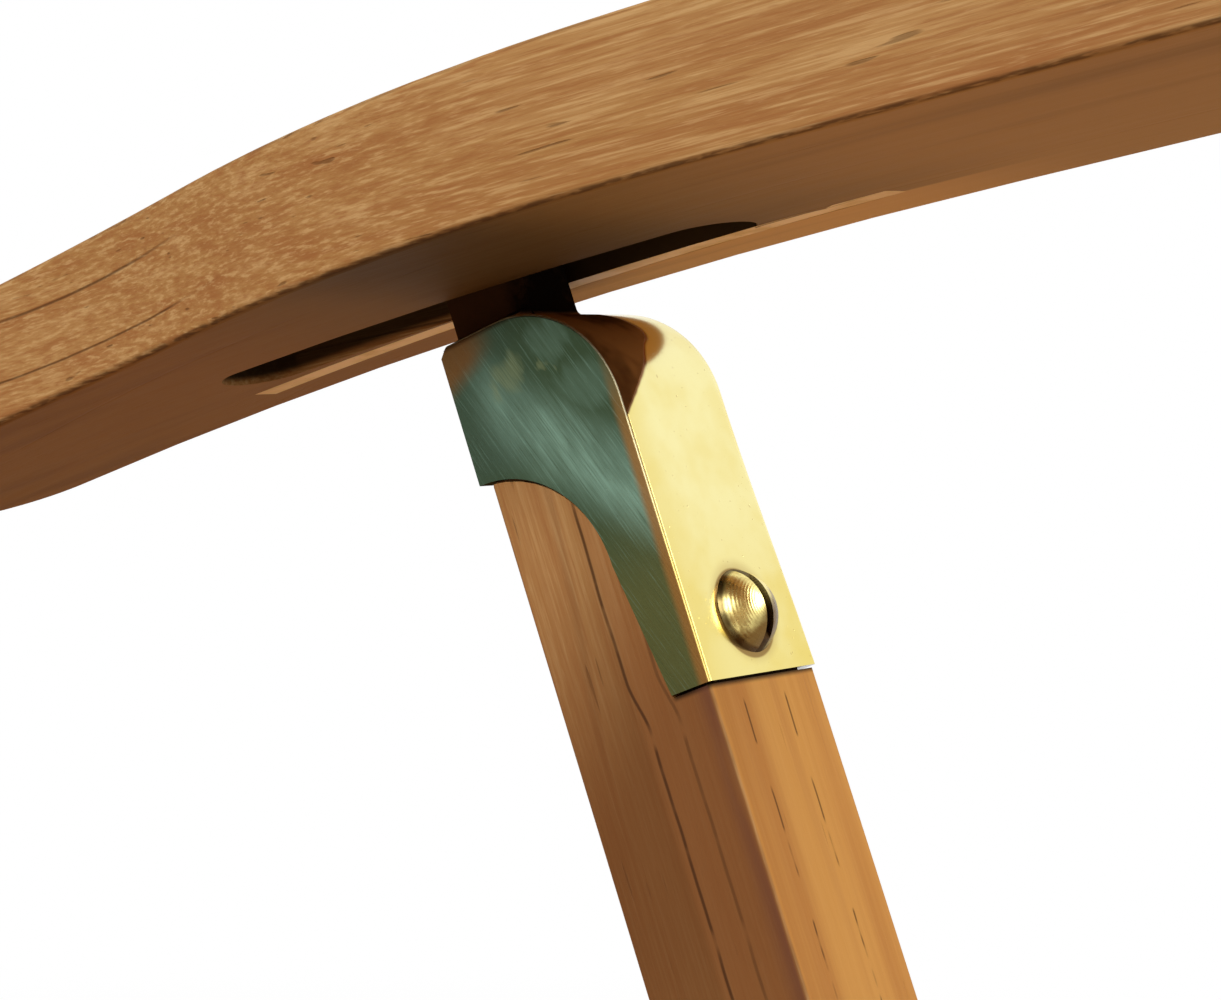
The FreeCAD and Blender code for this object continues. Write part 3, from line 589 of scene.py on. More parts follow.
@dataclass(frozen=True, kw_only=True)
class LegTeak(Teak):
    """Teak of the outer legs: veined sides, a golden rear face, a painted shadow under the cap and a bruised
    corner.
    """

    frame: SideFrame
    inner_face: float = 0.2637
    fleck_share: float = 0.30
    vein_share: float = 0.15
    band_share: float = 0.60
    specular: float = 0.08

    # The sides: gloom under the cap, a redder rear part, and veins by their place and strength.
    shade: Colour = (0.155, 0.056, 0.016)
    side_face: Span = (0.75, 0.95)
    gloom_slope: float = 0.9
    gloom_span: Span = (-0.028, 0.024)
    gloom_rise: Span = (-0.12, -0.03)
    gloom_share: float = 0.85
    red_back: Span = (0.0148, 0.0165)
    red_share: float = 0.30
    veins: tuple[tuple[float, float], ...] = ((0.0155, 1.0), (0.0212, 0.55))
    vein_width: Span = (0.00042, 0.00012)
    vein_top: float = 0.040
    vein_fade: float = 0.012
    vein_dark: float = 0.85
    broken: Cloud = Cloud((0.0, 120.0, 0.0), high=(0.30, 0.50))
    wander: Cloud = Cloud((0.0, 26.0, 0.0), 3.0, 0.6)
    wander_depth: float = 0.0016
    wander_more: float = 0.008
    wander_rise: Span = (-0.02, -0.12)
    jog_depth: float = 0.0014
    jog_rise: Span = (0.004, -0.004)

    # The rear face, with dashed lines.
    golden: Colour = (0.600, 0.285, 0.066)
    golden_deep: Colour = (0.470, 0.195, 0.044)
    golden_patch: Cloud = Cloud((190.0, 5.0, 190.0), 3.0, high=(0.38, 0.70))
    golden_share: float = 0.85
    rear_face: Span = (0.70, 0.93)
    rear_lines: tuple[float, ...] = (0.0072, 0.0181)
    line_width: Span = (0.00030, 0.00008)
    line_wander: float = 0.0018
    line_share: float = 0.75
    dash: Cloud = Cloud((0.0, 150.0, 0.0), 1.0, high=(0.47, 0.55))

    # The painted shadow under the cap and the bruise on the rear corner.
    black: Colour = (0.009, 0.006, 0.003)
    cap_shadow_rise: Span = (-0.0013, -0.0004)
    dirt_back: Span = (0.0222, 0.0234)
    cap_shadow_share: float = 0.88
    bruise: Colour = (0.140, 0.052, 0.034)
    bruise_back: Span = (0.0252, 0.0291)
    bruise_face: Span = (0.60, 0.10)
    bruise_patch: Cloud = Cloud((260.0, 26.0, 260.0), high=(0.34, 0.60))
    bruise_share: float = 0.60

    def tint(self, at: WoodPoint, colour: Wire) -> Wire:
        """Draws the veins, the golden face with its dashes, the painted shadow under the cap and the bruise.

        Args:
            at: The point of the wood.
            colour: The teak's colour so far.

        Returns:
            The colour.
        """
        graph, rest, place = at.graph, at.rest, at.place
        back, rise = self.frame.measure(graph, rest)
        normal = graph.node("TexCoord", output="Normal")
        to_rear = graph.dot(normal, tuple(self.frame.first))
        side = abs(graph.axes(normal)[0]).step(self.side_face)
        wander = graph.noise(place, self.wander) - MEAN

        gloom = (back * self.gloom_slope - rise).step(self.gloom_span) * rise.step(self.gloom_rise)
        layers = [(gloom * side * self.gloom_share, self.shade),
                  (back.step(self.red_back) * side * self.red_share, self.red)]
        drift = (rise.step(self.jog_rise) * self.jog_depth
                 + wander * (self.wander_depth + rise.step(self.wander_rise) * self.wander_more))
        broken = graph.patches(place, self.broken)
        for middle, strength in self.veins:
            line = abs(back - drift - middle).step(self.vein_width) * broken
            start = rise.step(shifted(self.vein_top * strength, (0.0, -self.vein_fade)))
            layers.append((line * start * side * strength * self.vein_dark, self.dark))

        rear = to_rear.step(self.rear_face)
        gold = graph.mix(graph.patches(place, self.golden_patch), self.golden, self.golden_deep)
        layers.append((rear * self.golden_share, gold))
        across = abs(graph.axes(rest)[0]) - self.inner_face - wander * self.line_wander
        dash = graph.patches(place, self.dash)
        for middle in self.rear_lines:
            line = abs(across - middle).step(self.line_width)
            layers.append((line * dash * rear * self.line_share, self.dark))

        # A painted shadow just under the cap.
        painted_shade = rise.step(self.cap_shadow_rise) * back.step(self.dirt_back)
        layers.append((painted_shade * self.cap_shadow_share, self.black))
        corner = back.step(self.bruise_back) * to_rear.step(self.bruise_face)
        layers.append((corner * graph.patches(place, self.bruise_patch) * self.bruise_share, self.bruise))
        return graph.coats(colour, layers)


@dataclass(frozen=True)
class Brass:
    """Brass with tarnish, pits and handling marks."""

    name: str
    colour: Colour = (0.80, 0.57, 0.21)
    tarnish: Colour = (0.27, 0.145, 0.040)
    tarnish_share: float = 0.45
    roughness: float = 0.20
    metallic: float = 1.0
    cloud: Cloud = Cloud((110.0, 110.0, 110.0), 4.0, 0.6, high=(0.40, 0.80))
    marks: Cloud = Cloud((420.0, 420.0, 420.0), 3.0, 0.65)
    pit: Cloud = Cloud((1300.0, 1300.0, 1300.0), 1.0, high=(0.70, 0.78))
    pit_share: float = 0.5
    specular: float = 0.1
    relief_depth: float = 0.00004

    def make(self) -> bpy.types.Material:
        """Makes the material.

        Returns:
            The brass.
        """
        material, graph = Graph.of_material(self.name)
        place = graph.node("TexCoord", output="Object")
        dull = graph.patches(place, self.cloud)
        marks = graph.noise(place, self.marks)
        pit = graph.patches(place, self.pit)
        colour = graph.coats(self.colour, ((dull * self.tarnish_share, self.tarnish),
                                           (pit * self.pit_share, self.tarnish)))
        roughness = self.roughness + dull * 0.16 + marks * 0.08
        graph.surface({"Base Color": self.tint(graph, colour), "Metallic": self.metallic,
                       "Roughness": roughness, "Specular IOR Level": self.specular},
                      marks - pit * 0.6, self.relief_depth)
        return material

    def tint(self, graph: Graph, colour: Wire) -> Wire:
        """Adds what is special to one piece; plain brass has nothing to add."""
        return colour


@dataclass(frozen=True)
class StripBrass(Brass):
    """Dull brass of the slot's lining strip, with its upright faces painted black as shade."""

    colour: Colour = (0.86, 0.43, 0.085)
    tarnish: Colour = (0.43, 0.19, 0.040)
    roughness: float = 0.46
    metallic: float = 0.0
    black: Colour = (0.010, 0.006, 0.003)
    upright_face: Span = (0.45, 0.70)
    black_share: float = 0.95

    def tint(self, graph: Graph, colour: Wire) -> Wire:
        """Paints the upright faces black as shade."""
        across = abs(graph.axes(graph.node("TexCoord", output="Normal"))[0])
        return graph.mix(across.step(self.upright_face) * self.black_share, colour, self.black)


@dataclass(frozen=True)
class TurnedBrass:
    """Brass of the cap screws: a lathe-turned dome with fine rings, a painted dark reflection low down, and
    painted shade on the rim and in the slot.
    """

    name: str
    frame: SideFrame
    seat: float
    up: float
    middle: float
    colour: Colour = (1.00, 0.85, 0.32)
    deep: Colour = (0.42, 0.25, 0.060)
    painted_reflection: Colour = (0.130, 0.060, 0.013)
    painted_shade: Colour = (0.050, 0.024, 0.008)
    wear: Cloud = Cloud((500.0, 500.0, 500.0), 3.0, 0.6, high=(0.42, 0.74))
    deep_share: float = 0.55

    # The painted dark reflection on the lower side, by how far out and down a point is.
    reflection_out: float = 0.55
    reflection_down: float = 0.83
    reflection_wander: float = 0.002
    reflection_span: Span = (-0.0014, 0.0018)
    reflection_share: float = 0.95

    # The slot and the rim, painted dark as shade; heights are shares of the head's.
    head_height: float = 0.0044
    slot_side: Span = (0.00091, 0.00081)
    slot_height: Span = (1.02, 0.80)
    slot_share: float = 0.92
    rim_height: Span = (0.30, 0.12)
    rim_share: float = 0.85

    # Rings per metre, gloss and relief.
    rings: float = 2600.0
    ring_start: Span = (0.0, 0.5)
    ring_end: Span = (1.0, 0.5)
    roughness: float = 0.20
    relief_depth: float = 0.00002

    def make(self) -> bpy.types.Material:
        """Makes the material.

        Returns:
            The turned brass.
        """
        material, graph = Graph.of_material(self.name)
        place = graph.node("TexCoord", output="Object")
        back, rise = self.frame.measure(graph, place)
        height = (back - self.seat) / self.head_height
        side = abs(graph.axes(place)[0]) - self.middle
        lift = rise - self.up
        wear = graph.noise(place, self.wear)
        low = side * self.reflection_out - lift * self.reflection_down + (wear - MEAN) * self.reflection_wander
        slot = abs(side).step(self.slot_side) * height.step(self.slot_height)
        rim = height.step(self.rim_height)
        # Wear patches, a painted dark reflection low down, and painted shade in the slot and on the rim.
        colour = graph.coats(self.colour, (
            (wear.step(self.wear.high) * self.deep_share, self.deep),
            (low.step(self.reflection_span) * self.reflection_share, self.painted_reflection),
            ((slot * self.slot_share).larger(rim * self.rim_share), self.painted_shade)))
        ring = (side.reach(lift) * self.rings).fraction().between(self.ring_start, self.ring_end)
        roughness = self.roughness + wear * 0.16 + slot * 0.3
        graph.surface({"Base Color": colour, "Metallic": 1.0, "Roughness": roughness},
                      ring * 0.7 + wear * 0.3, self.relief_depth)
        return material


@dataclass(frozen=True)
class CapPoint:
    """A point on a cap: its distances back, up and out, and the stain and the pits there."""

    graph: Graph
    back: Wire
    rise: Wire
    across: Wire
    stain: Wire
    pit: Wire


@dataclass(frozen=True)
class CapBrass:
    """Cast brass of the leg caps: polished straps with a painted dark reflection at the top, tongues painted
    dark as reflection and shade, brushed green cheeks with painted highlights.
    """

    name: str
    frame: SideFrame
    top: float
    depth: float
    tongue_rear: float
    inner_face: float = 0.2637
    stain: Cloud = Cloud((70.0, 70.0, 70.0), 3.0, 0.6, high=(0.38, 0.68))
    pit: Cloud = Cloud((1500.0, 1500.0, 1500.0), 1.0, high=(0.73, 0.79))

    # The strap, deeper in colour when low, with a painted golden reflection along its inner edge.
    polished: Colour = (0.96, 0.87, 0.42)
    honey: Colour = (0.86, 0.69, 0.19)
    tarnish: Colour = (0.36, 0.19, 0.05)
    honey_stain: float = 0.45
    honey_low: float = 0.55
    honey_rise: Span = (0.034, 0.004)
    pit_share: float = 0.45
    edge_span: Span = (0.0075, 0.0006)
    edge_least: float = 0.25
    edge_stain: float = 0.6

    # The dark tail at the strap's top, a painted reflection of the arm's underside, whose lower edge slopes.
    tail_brown: Colour = (0.330, 0.135, 0.036)
    tail_deep: Colour = (0.120, 0.046, 0.013)
    tail_patch: Span = (0.40, 0.60)
    tail_slope: float = 0.84
    tail_wander: float = 0.004
    tail_start: Span = (0.0404, 0.0420)
    tail_side: Span = (0.0180, 0.0155)
    tail_front: Span = (-0.0020, 0.0010)
    tail_colour: Span = (0.0, 0.6)
    tail_matt: Span = (0.6, 1.0)
    tail_face: Span = (0.72, 0.55)

    # The darkening about the screw, tarnish with painted shade, and a crescent of painted shadow where its
    # head shades the strap.
    screw: tuple[float, float] = (0.0142, 0.0096)
    halo_reach: Span = (0.0088, 0.0064)
    halo_least: float = 0.35
    halo_stain: float = 0.6
    halo_share: float = 0.6
    crescent: Colour = (0.240, 0.118, 0.026)
    crescent_shift: tuple[float, float] = (0.0004, 0.0003)
    crescent_reach: Span = (0.0072, 0.0068)
    crescent_share: float = 0.80

    # The cheeks, brushed at a slant and mottled, with a painted teal highlight band, painted highlight spots
    # in teal and yellow, and a painted brown reflection low along the strap side.
    cheek_face: Span = (0.86, 0.98)
    cheek_dark: Colour = (0.050, 0.080, 0.042)
    cheek_olive: Colour = (0.104, 0.112, 0.040)
    cheek_green: Colour = (0.054, 0.088, 0.058)
    cheek_teal: Colour = (0.235, 0.385, 0.295)
    cheek_yellow: Colour = (0.185, 0.215, 0.105)
    cheek_brown: Colour = (0.300, 0.145, 0.038)
    crest_brown: Colour = (0.165, 0.072, 0.020)
    slant: tuple[float, float] = (0.931, 0.366)
    brush: Cloud = Cloud((700.0, 3600.0, 90.0), 4.0, 0.70, high=(0.54, 0.76), low=(0.46, 0.26))
    swell: Cloud = Cloud((60.0, 170.0, 60.0), 3.0, 0.55, high=(0.30, 0.65))
    warp: Cloud = Cloud((200.0, 420.0, 130.0), 3.0, 0.6)
    warp_depth: float = 0.009
    swell_depth: float = 0.012
    olive_rise: Span = (0.012, 0.034)
    green_back: Span = (0.020, 0.006)
    green_rise: Span = (0.036, 0.044)
    green_share: float = 0.8
    band_slope: float = 0.93
    band_rise: float = 0.0565
    band_width: Span = (0.0125, 0.0010)
    band_back: Span = (0.001, 0.013)
    band_least: float = 0.45
    band_swell: float = 0.55
    teal_spots: tuple[Spot, ...] = ((0.0245, 0.0480, 0.0062), (0.0200, 0.0575, 0.0050))
    teal_spot_share: float = 0.22
    teal_least: float = 0.25
    teal_brush: float = 1.1
    yellow_spots: tuple[Spot, ...] = ((0.0112, 0.0537, 0.0042), (0.0181, 0.0528, 0.0014))
    brush_teal: float = 0.34
    brush_dark: float = 0.45
    foot_back: Span = (-0.0026, -0.0012)
    foot_rise: Span = (0.056, 0.034)
    foot_share: float = 0.85
    crest_slope: float = 0.42
    crest_rise: Span = (-0.0095, -0.0050)
    crest_back: Span = (0.012, 0.004)
    crest_share: float = 0.85

    # The worn ridge beside the strap, pale as wear and as a painted highlight; the tongue, painted brown as
    # reflection and black as shade; and the underside, painted black as shade.
    worn_highlight: Colour = (0.640, 0.600, 0.400)
    ridge_start: Span = (0.55, 0.72)
    ridge_end: Span = (0.97, 0.90)
    ridge_rise: Span = (0.020, 0.034)
    ridge_share: float = 0.75
    tongue_brown: Colour = (0.052, 0.023, 0.010)
    tongue_black: Colour = (0.010, 0.006, 0.004)
    tongue_back: Span = (0.0008, 0.0)
    tongue_rise: Span = (-0.0012, 0.0004)
    soot_back: Span = (-0.0050, -0.0020)
    tongue_mottle: Cloud = Cloud((240.0, 240.0, 240.0), 3.0, 0.6, high=(0.50, 0.70))
    tongue_mottle_share: float = 0.5
    under_face: Span = (-0.50, -0.85)
    under_share: float = 0.95
    under_matt: Span = (0.018, 0.012)

    # Gloss and relief.
    arris_start: Span = (0.05, 0.25)
    arris_end: Span = (0.99, 0.93)
    roughness: float = 0.09
    relief_depth: float = 0.00003

    def make(self) -> bpy.types.Material:
        """Makes the material.

        Returns:
            The brass of the caps.
        """
        material, graph = Graph.of_material(self.name)
        place = graph.node("TexCoord", output="Object")
        normal = graph.node("TexCoord", output="Normal")
        back, rise = self.frame.measure(graph, place)
        at = CapPoint(graph, back, rise, abs(graph.axes(place)[0]) - self.inner_face,
                      graph.noise(place, self.stain), graph.patches(place, self.pit))
        side = abs(graph.axes(normal)[0])
        lapped = graph.node("CombineXYZ", sockets={
            "X": graph.axes(place)[0], "Y": back * self.slant[0] + rise * self.slant[1],
            "Z": rise * self.slant[0] - back * self.slant[1]})
        brush = graph.noise(lapped, self.brush)

        # The tail is a painted dark reflection of the arm's underside.
        slope = rise - at.across * self.tail_slope + (at.stain - MEAN) * self.tail_wander
        tail = slope.step(self.tail_start) * at.across.step(self.tail_side)
        tail = tail * back.step(shifted(self.tongue_rear, self.tail_front))
        cheek = side.step(self.cheek_face)
        # The ridge is painted pale, as wear and as a highlight.
        ridge = side.between(self.ridge_start, self.ridge_end) * rise.step(self.ridge_rise)
        tongue = (back.step(shifted(self.tongue_rear, self.tongue_back))
                  * rise.step(shifted(self.top, self.tongue_rise)))
        # The tongue is painted dark brown as reflection, going black as shade towards its rear.
        tongue_shade = graph.coats(self.tongue_brown, (
            (back.step(shifted(self.tongue_rear, self.soot_back)), self.tongue_black),
            (graph.patches(place, self.tongue_mottle) * self.tongue_mottle_share, self.tongue_brown)))
        # Faces that look down are painted black as shade.
        under = graph.dot(normal, tuple(self.frame.second)).step(self.under_face)
        colour = graph.coats(self._strap(at, tail), (
            (cheek, self._cheek(at, lapped, brush)),
            (ridge * self.ridge_share, self.worn_highlight),
            (tongue, tongue_shade),
            (under * self.under_share, self.tongue_black)))

        # The painted tail reflection, the tongue and the shaded underside are made matt.
        painted_reflection = tail.step(self.tail_matt) * side.step(self.tail_face)
        matt = tongue.larger(under * back.step(self.under_matt)).larger(painted_reflection)
        arris = side.between(self.arris_start, self.arris_end)
        roughness = (self.roughness + at.stain * 0.06 + cheek * 0.22 + at.pit * 0.1
                     + matt * 0.60 + arris * 0.30)
        relief = brush * (0.08 + cheek * 0.92) - at.pit * 0.3
        graph.surface({"Base Color": colour, "Metallic": 1.0 - matt, "Roughness": roughness,
                       "Specular IOR Level": 0.0}, relief, self.relief_depth)
        return material

    def _strap(self, at: CapPoint, tail: Wire) -> Wire:
        """Colours the strap.

        Args:
            at: The point on the cap.
            tail: 1 on the dark tail.

        Returns:
            The colour.
        """
        low = at.rise.step(self.honey_rise)
        deeper = at.stain.step(self.stain.high) * self.honey_stain + low * self.honey_low
        # A painted golden reflection along the inner edge.
        edge = at.across.step(self.edge_span) * (self.edge_least + at.stain * self.edge_stain)
        # The tail's painted reflection, brown going deep.
        tail_reflection = at.graph.mix(at.stain.step(self.tail_patch), self.tail_brown, self.tail_deep)
        out, up = at.across - self.screw[0], at.rise - self.screw[1]
        # Tarnish and painted shade about the screw, and a painted shadow crescent beside its head.
        halo = out.reach(up).step(self.halo_reach) * (self.halo_least + at.stain * self.halo_stain)
        aside = (out + self.crescent_shift[0]).reach(up + self.crescent_shift[1])
        return at.graph.coats(self.polished, (
            (deeper, self.honey),
            (at.pit * self.pit_share, self.tarnish),
            (edge, self.honey),
            (tail.step(self.tail_colour), tail_reflection),
            (halo * self.halo_share, self.tarnish),
            (aside.step(self.crescent_reach) * self.crescent_share, self.crescent)))

    def _cheek(self, at: CapPoint, lapped: Wire, brush: Wire) -> Wire:
        """Colours the cheeks.

        Args:
            at: The point on the cap.
            lapped: The position, turned so that its Z runs along the brushing.
            brush: The noise of the brushing.

        Returns:
            The colour.
        """
        back, rise = at.back, at.rise
        swell = at.graph.noise(lapped, self.swell)
        warp = at.graph.noise(lapped, self.warp) - MEAN
        warped = back + warp * self.warp_depth, rise + (swell - MEAN) * self.swell_depth
        # A painted teal highlight band, and teal highlight spots.
        off_band = abs(rise + back * self.band_slope - self.band_rise)
        uneven = self.band_least + swell.step(self.swell.high) * self.band_swell
        teal = off_band.step(self.band_width) * uneven * back.step(self.band_back)
        for spot in self.teal_spots:
            teal = teal.larger(self._spot(*warped, spot) * self.teal_spot_share)
        # A painted brown reflection low along the strap side.
        foot = back.step(shifted(self.depth, self.foot_back)) * rise.step(self.foot_rise)
        crest = (rise - back * self.crest_slope).step(shifted(self.top, self.crest_rise))
        # The yellow spots in the coats below are painted highlights.
        return at.graph.coats(self.cheek_olive, (
            (rise.step(self.olive_rise), self.cheek_dark),
            (back.step(self.green_back) * rise.step(self.green_rise) * self.green_share, self.cheek_green),
            (teal * (self.teal_least + brush * self.teal_brush), self.cheek_teal),
            *((self._spot(*warped, spot) * brush, self.cheek_yellow) for spot in self.yellow_spots),
            (brush.step(self.brush.high) * self.brush_teal, self.cheek_teal),
            (brush.step(self.brush.low) * self.brush_dark, self.cheek_dark),
            (foot * self.foot_share, self.cheek_brown),
            (crest * back.step(self.crest_back) * self.crest_share, self.crest_brown)))

    @staticmethod
    def _spot(back: Wire, rise: Wire, spot: Spot) -> Wire:
        """A soft round spot, by its place on the cheek and its radius."""
        off_back, off_rise = back - spot[0], rise - spot[1]
        return (off_back * off_back + off_rise * off_rise).step((spot[2] ** 2, 0.0))


class Finish(Protocol):
    """Anything that makes a material."""

    def make(self) -> bpy.types.Material:
        """Makes the material."""


@dataclass
class Assembly:
    """A group of the chair's nodes that are dressed together."""

    nodes: dict[str, bpy.types.Object]

    def paint(self, finish: Finish, names: Sequence[str]) -> None:
        """Gives one finish to some nodes.

        Args:
            finish: The finish.
            names: The nodes' names.
        """
        material = finish.make()
        for name in names:
            for slot in self.nodes[name].material_slots:
                slot.material = material
            log.info("%s: %s", name, material.name)

    @staticmethod
    def pair(name: str) -> list[str]:
        """The names of a piece on the two sides of the chair."""
        return [name + "_left", name + "_right"]

    @staticmethod
    def row(name: str, count: int) -> list[str]:
        """The names of a numbered row of pieces."""
        return ["%s_%d" % (name, number) for number in range(1, count + 1)]


@dataclass
class Seat(Assembly):
    """Side rails, cross pieces, slats, runners and the metalwork on them."""

    slats: int = 7

    def dress(self) -> None:
        """Gives the seat its finishes."""
        self.paint(Teak("teak_seat_rails", Grain.SEAT), self.pair("seat_rail") + self.pair("footrest_runner"))
        self.paint(Teak("teak_seat_slats", Grain.ACROSS), self.row("seat_slat", self.slats))
        self.paint(Teak("teak_seat_bars", Grain.ACROSS, ring_pitch=0.012),
                   ["rear_cross_rail", "front_cross_bar"])
        self.paint(Brass("hinge_brass", roughness=0.26), self.pair("back_hinge_bracket"))
        self.paint(Brass("seat_screw_brass"), ["seat_slat_screws", "hinge_bracket_screws"])
        self.paint(Brass("seat_bolt_brass", tarnish_share=0.6),
                   ["rail_pivot_bolts", "rail_pivot_sleeves", "back_hinge_bolts"])


@dataclass
class Back(Assembly):
    """Stiles, rails and upright slats of the back."""

    slats: int = 6

    def dress(self) -> None:
        """Gives the back its finishes."""
        self.paint(Teak("teak_back_stiles", Grain.BACK), self.pair("back_stile"))
        self.paint(Teak("teak_back_slats", Grain.BACK, ring_pitch=0.0085), self.row("back_slat", self.slats))
        self.paint(Teak("teak_back_rails", Grain.ACROSS), ["back_top_rail", "back_bottom_rail"])


@dataclass
class Arms(Assembly):
    """Arm boards with their slots, lining strips, racks and bolts."""

    rest: Vector = field(default_factory=lambda: Vector((0.0, 0.038551, 0.575)))
    slope: float = 10.0

    def dress(self) -> None:
        """Gives the arms their finishes."""
        frame = SideFrame(self.rest, self.slope)
        self.paint(ArmTeak("teak_arms", Grain.ARM, frame=frame), self.pair("arm"))
        self.paint(StripBrass("strip_brass"), self.pair("slot_strip"))
        self.paint(Brass("rack_brass", colour=(0.10, 0.06, 0.025), tarnish=(0.04, 0.02, 0.008),
                         tarnish_share=0.6, roughness=0.50, metallic=0.5), self.pair("arm_rack"))
        self.paint(Brass("arm_bolt_brass"), ["arm_pivot_bolts", "arm_pivot_washers"])


@dataclass
class OuterLegs(Assembly):
    """Legs that carry the arms, with their brass caps, screws, cross bar and crossing bolts."""

    foot: Vector = field(default_factory=lambda: Vector((0.0, 0.060626, 0.49489)))
    lean: float = 21.0
    cap_top: float = 0.0628
    cap_depth: float = 0.030
    tongue_rear: float = 0.01565
    screw_up: float = 0.0096
    middle: float = 0.2779

    def dress(self) -> None:
        """Gives the legs their finishes."""
        frame = SideFrame(self.foot, self.lean)
        self.paint(LegTeak("teak_outer_legs", Grain.OUTER_LEG, frame=frame), self.pair("outer_leg"))
        self.paint(Teak("teak_outer_bar", Grain.ACROSS), ["outer_leg_stretcher"])
        self.paint(CapBrass("cap_brass", frame, self.cap_top, self.cap_depth, self.tongue_rear),
                   self.pair("leg_cap"))
        self.paint(TurnedBrass("cap_screw_brass", frame, self.cap_depth, self.screw_up, self.middle),
                   ["cap_screws"])
        self.paint(Brass("crossing_brass"), ["crossing_bolts", "crossing_washers"])


@dataclass
class InnerLegs(Assembly):
    """Legs that cross under the seat, with their cross bar and guide pins."""

    def dress(self) -> None:
        """Gives the legs their finishes."""
        self.paint(Teak("teak_inner_legs", Grain.INNER_LEG), self.pair("inner_leg"))
        self.paint(Teak("teak_inner_bar", Grain.ACROSS), ["inner_leg_stretcher"])
        self.paint(Brass("guide_brass", tarnish_share=0.6), ["guide_pins"])


@dataclass
class Footrest(Assembly):
    """Sliding footrest with its slats and folding leg frame."""

    slats: int = 4

    def dress(self) -> None:
        """Gives the footrest its finishes."""
        self.paint(Teak("teak_footrest_rails", Grain.SEAT), self.pair("footrest_rail"))
        self.paint(Teak("teak_footrest_slats", Grain.ACROSS), self.row("footrest_slat", self.slats))
        self.paint(Teak("teak_footrest_legs", Grain.UPRIGHT), self.pair("footrest_leg"))
        self.paint(Teak("teak_footrest_bar", Grain.ACROSS), ["footrest_leg_stretcher"])
        self.paint(Brass("footrest_bolt_brass"), ["footrest_leg_bolts"])


@dataclass(frozen=True)
class Lamp:
    """A square soft lamp that faces the chair."""

    name: str
    place: tuple[float, float, float]
    power: float
    size: float = 1.8
    aim: tuple[float, float, float] = (0.0, 0.0, 0.5)

    def build(self) -> None:
        """Makes the lamp."""
        data = bpy.data.lights.new(self.name, "AREA")
        data.size = self.size
        data.energy = self.power
        lamp = bpy.data.objects.new(self.name, data)
        lamp.location = self.place
        towards = Vector(self.aim) - Vector(self.place)
        lamp.rotation_euler = towards.to_track_quat("-Z", "Y").to_euler()
        bpy.context.scene.collection.objects.link(lamp)


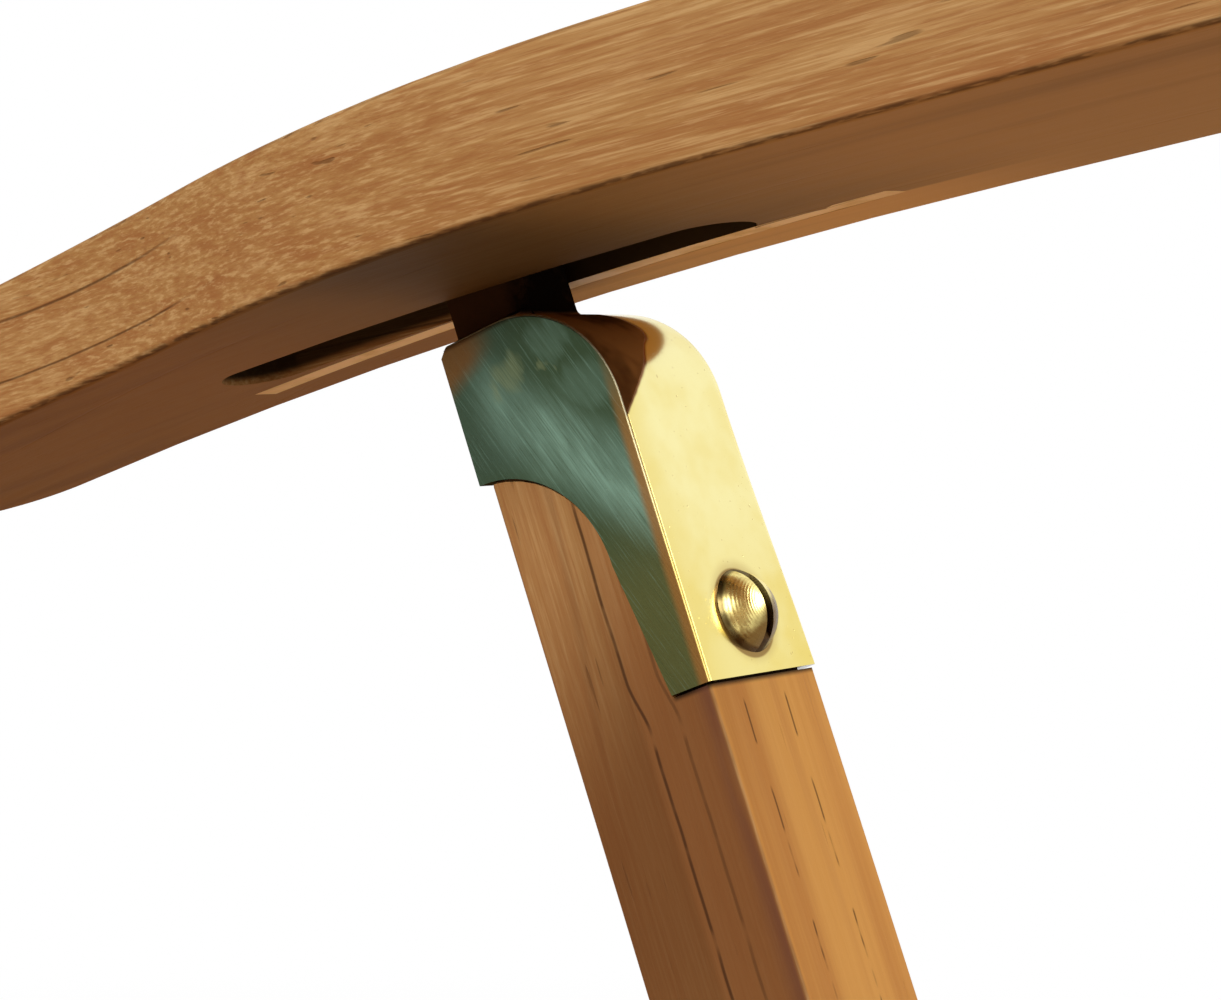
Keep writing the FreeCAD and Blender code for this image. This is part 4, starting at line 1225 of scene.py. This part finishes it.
@dataclass
class Stage:
    """The floor, the light and the white surroundings."""

    floor_half: float = 40.0
    ambient: float = 0.42
    floor_colour: Colour = (0.56, 0.55, 0.53)
    floor_glow: float = 0.50
    shadow_reach: Span = (1.3, 2.4)
    lamps: tuple[Lamp, ...] = (Lamp("key_lamp", (-1.2, 2.4, 2.3), 62.0),
                               Lamp("fill_lamp", (2.3, 0.4, 2.1), 58.0))

    def build(self) -> None:
        """Makes the floor, the world and the lamps."""
        self._floor()
        self._world()
        for lamp in self.lamps:
            lamp.build()

    def _floor(self) -> None:
        """Makes the floor."""
        half = self.floor_half
        corners = [(-half, -half, 0), (half, -half, 0), (half, half, 0), (-half, half, 0)]
        mesh = bpy.data.meshes.new("floor")
        mesh.from_pydata(corners, [], [(0, 1, 2, 3)])
        mesh.materials.append(self._floor_material())
        floor = bpy.data.objects.new("floor", mesh)
        bpy.context.scene.collection.objects.link(floor)

    def _floor_material(self) -> bpy.types.Material:
        """Makes a pale finish that keeps the shadow and goes over into white further off.

        Returns:
            The floor's material.
        """
        material, graph = Graph.of_material("pale_floor")
        seen = self._seen(graph)
        matte = graph.node("BsdfDiffuse", sockets={"Color": self.floor_colour})
        glow = graph.node("Emission", sockets={"Color": WHITE, "Strength": self.floor_glow})
        dark = graph.node("Emission", sockets={"Color": BLACK, "Strength": 0.0})
        white = graph.node("Emission", sockets={"Color": WHITE, "Strength": 1.0})
        shine = graph.node("MixShader", sockets={0: seen, 1: dark, 2: glow})
        lit = graph.node("AddShader", sockets={0: matte, 1: shine})
        spot = graph.node("TexCoord", output="Object")
        far = (graph.dot(spot, spot) ** 0.5).step(self.shadow_reach)
        shader = graph.node("MixShader", sockets={0: far * seen, 1: lit, 2: white})
        graph.node("OutputMaterial", sockets={"Surface": shader})
        return material

    @staticmethod
    def _seen(graph: Graph) -> Wire:
        """Tells the rays that see a surface from those that light one.

        Args:
            graph: The graph to add to.

        Returns:
            1 for rays from the camera, from gloss and through glass, and 0 for the rest.
        """
        path = graph.node("LightPath").socket.node
        camera = Wire(graph, path.outputs["Is Camera Ray"])
        glossy = Wire(graph, path.outputs["Is Glossy Ray"])
        through = Wire(graph, path.outputs["Is Transmission Ray"])
        return (camera + glossy + through).step((0.0, 1.0))

    def _world(self) -> None:
        """Makes white surroundings, dimmer as light on the object than as a background."""
        world = bpy.data.worlds.new("studio")
        world.use_nodes = True
        bpy.context.scene.world = world
        graph = Graph(world.node_tree)
        level = self.ambient + self._seen(graph) * (1.0 - self.ambient)
        sky = graph.node("Background", sockets={"Color": WHITE, "Strength": level})
        graph.node("OutputWorld", sockets={"Surface": sky})


@dataclass
class Viewpoint:
    """The camera, inside the chair and level with its right arm."""

    place: Vector = field(default_factory=lambda: Vector((0.0916, 0.333434, 0.554249)))
    right: Vector = field(default_factory=lambda: Vector((-0.59415, 0.80435, -0.00388)))
    forward: Vector = field(default_factory=lambda: Vector((-0.80315, -0.59351, -0.05186)))
    focal_pixels: float = 3000.0
    nearest: float = 0.01

    def build(self) -> None:
        """Makes the camera and gives it to the scene."""
        data = bpy.data.cameras.new("camera")
        data.sensor_fit = "HORIZONTAL"
        data.sensor_width = SENSOR_WIDTH
        data.lens = self.focal_pixels / PHOTO_WIDTH * SENSOR_WIDTH
        data.clip_start = self.nearest
        camera = bpy.data.objects.new("camera", data)
        back = -self.forward.normalized()
        up = back.cross(self.right).normalized()
        side = up.cross(back)
        camera.matrix_world = Matrix.Translation(self.place) @ Matrix((side, up, back)).transposed().to_4x4()
        bpy.context.scene.collection.objects.link(camera)
        bpy.context.scene.camera = camera


def main() -> None:
    """Builds the stage and the camera and dresses the chair."""
    logging.basicConfig(level=logging.INFO)
    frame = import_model()
    bpy.context.scene.view_settings.view_transform = "Standard"
    Viewpoint().build()
    Stage().build()
    for assembly in (Seat, Back, Arms, OuterLegs, InnerLegs, Footrest):
        assembly(frame["nodes"]).dress()


if __name__ == "__main__":
    main()
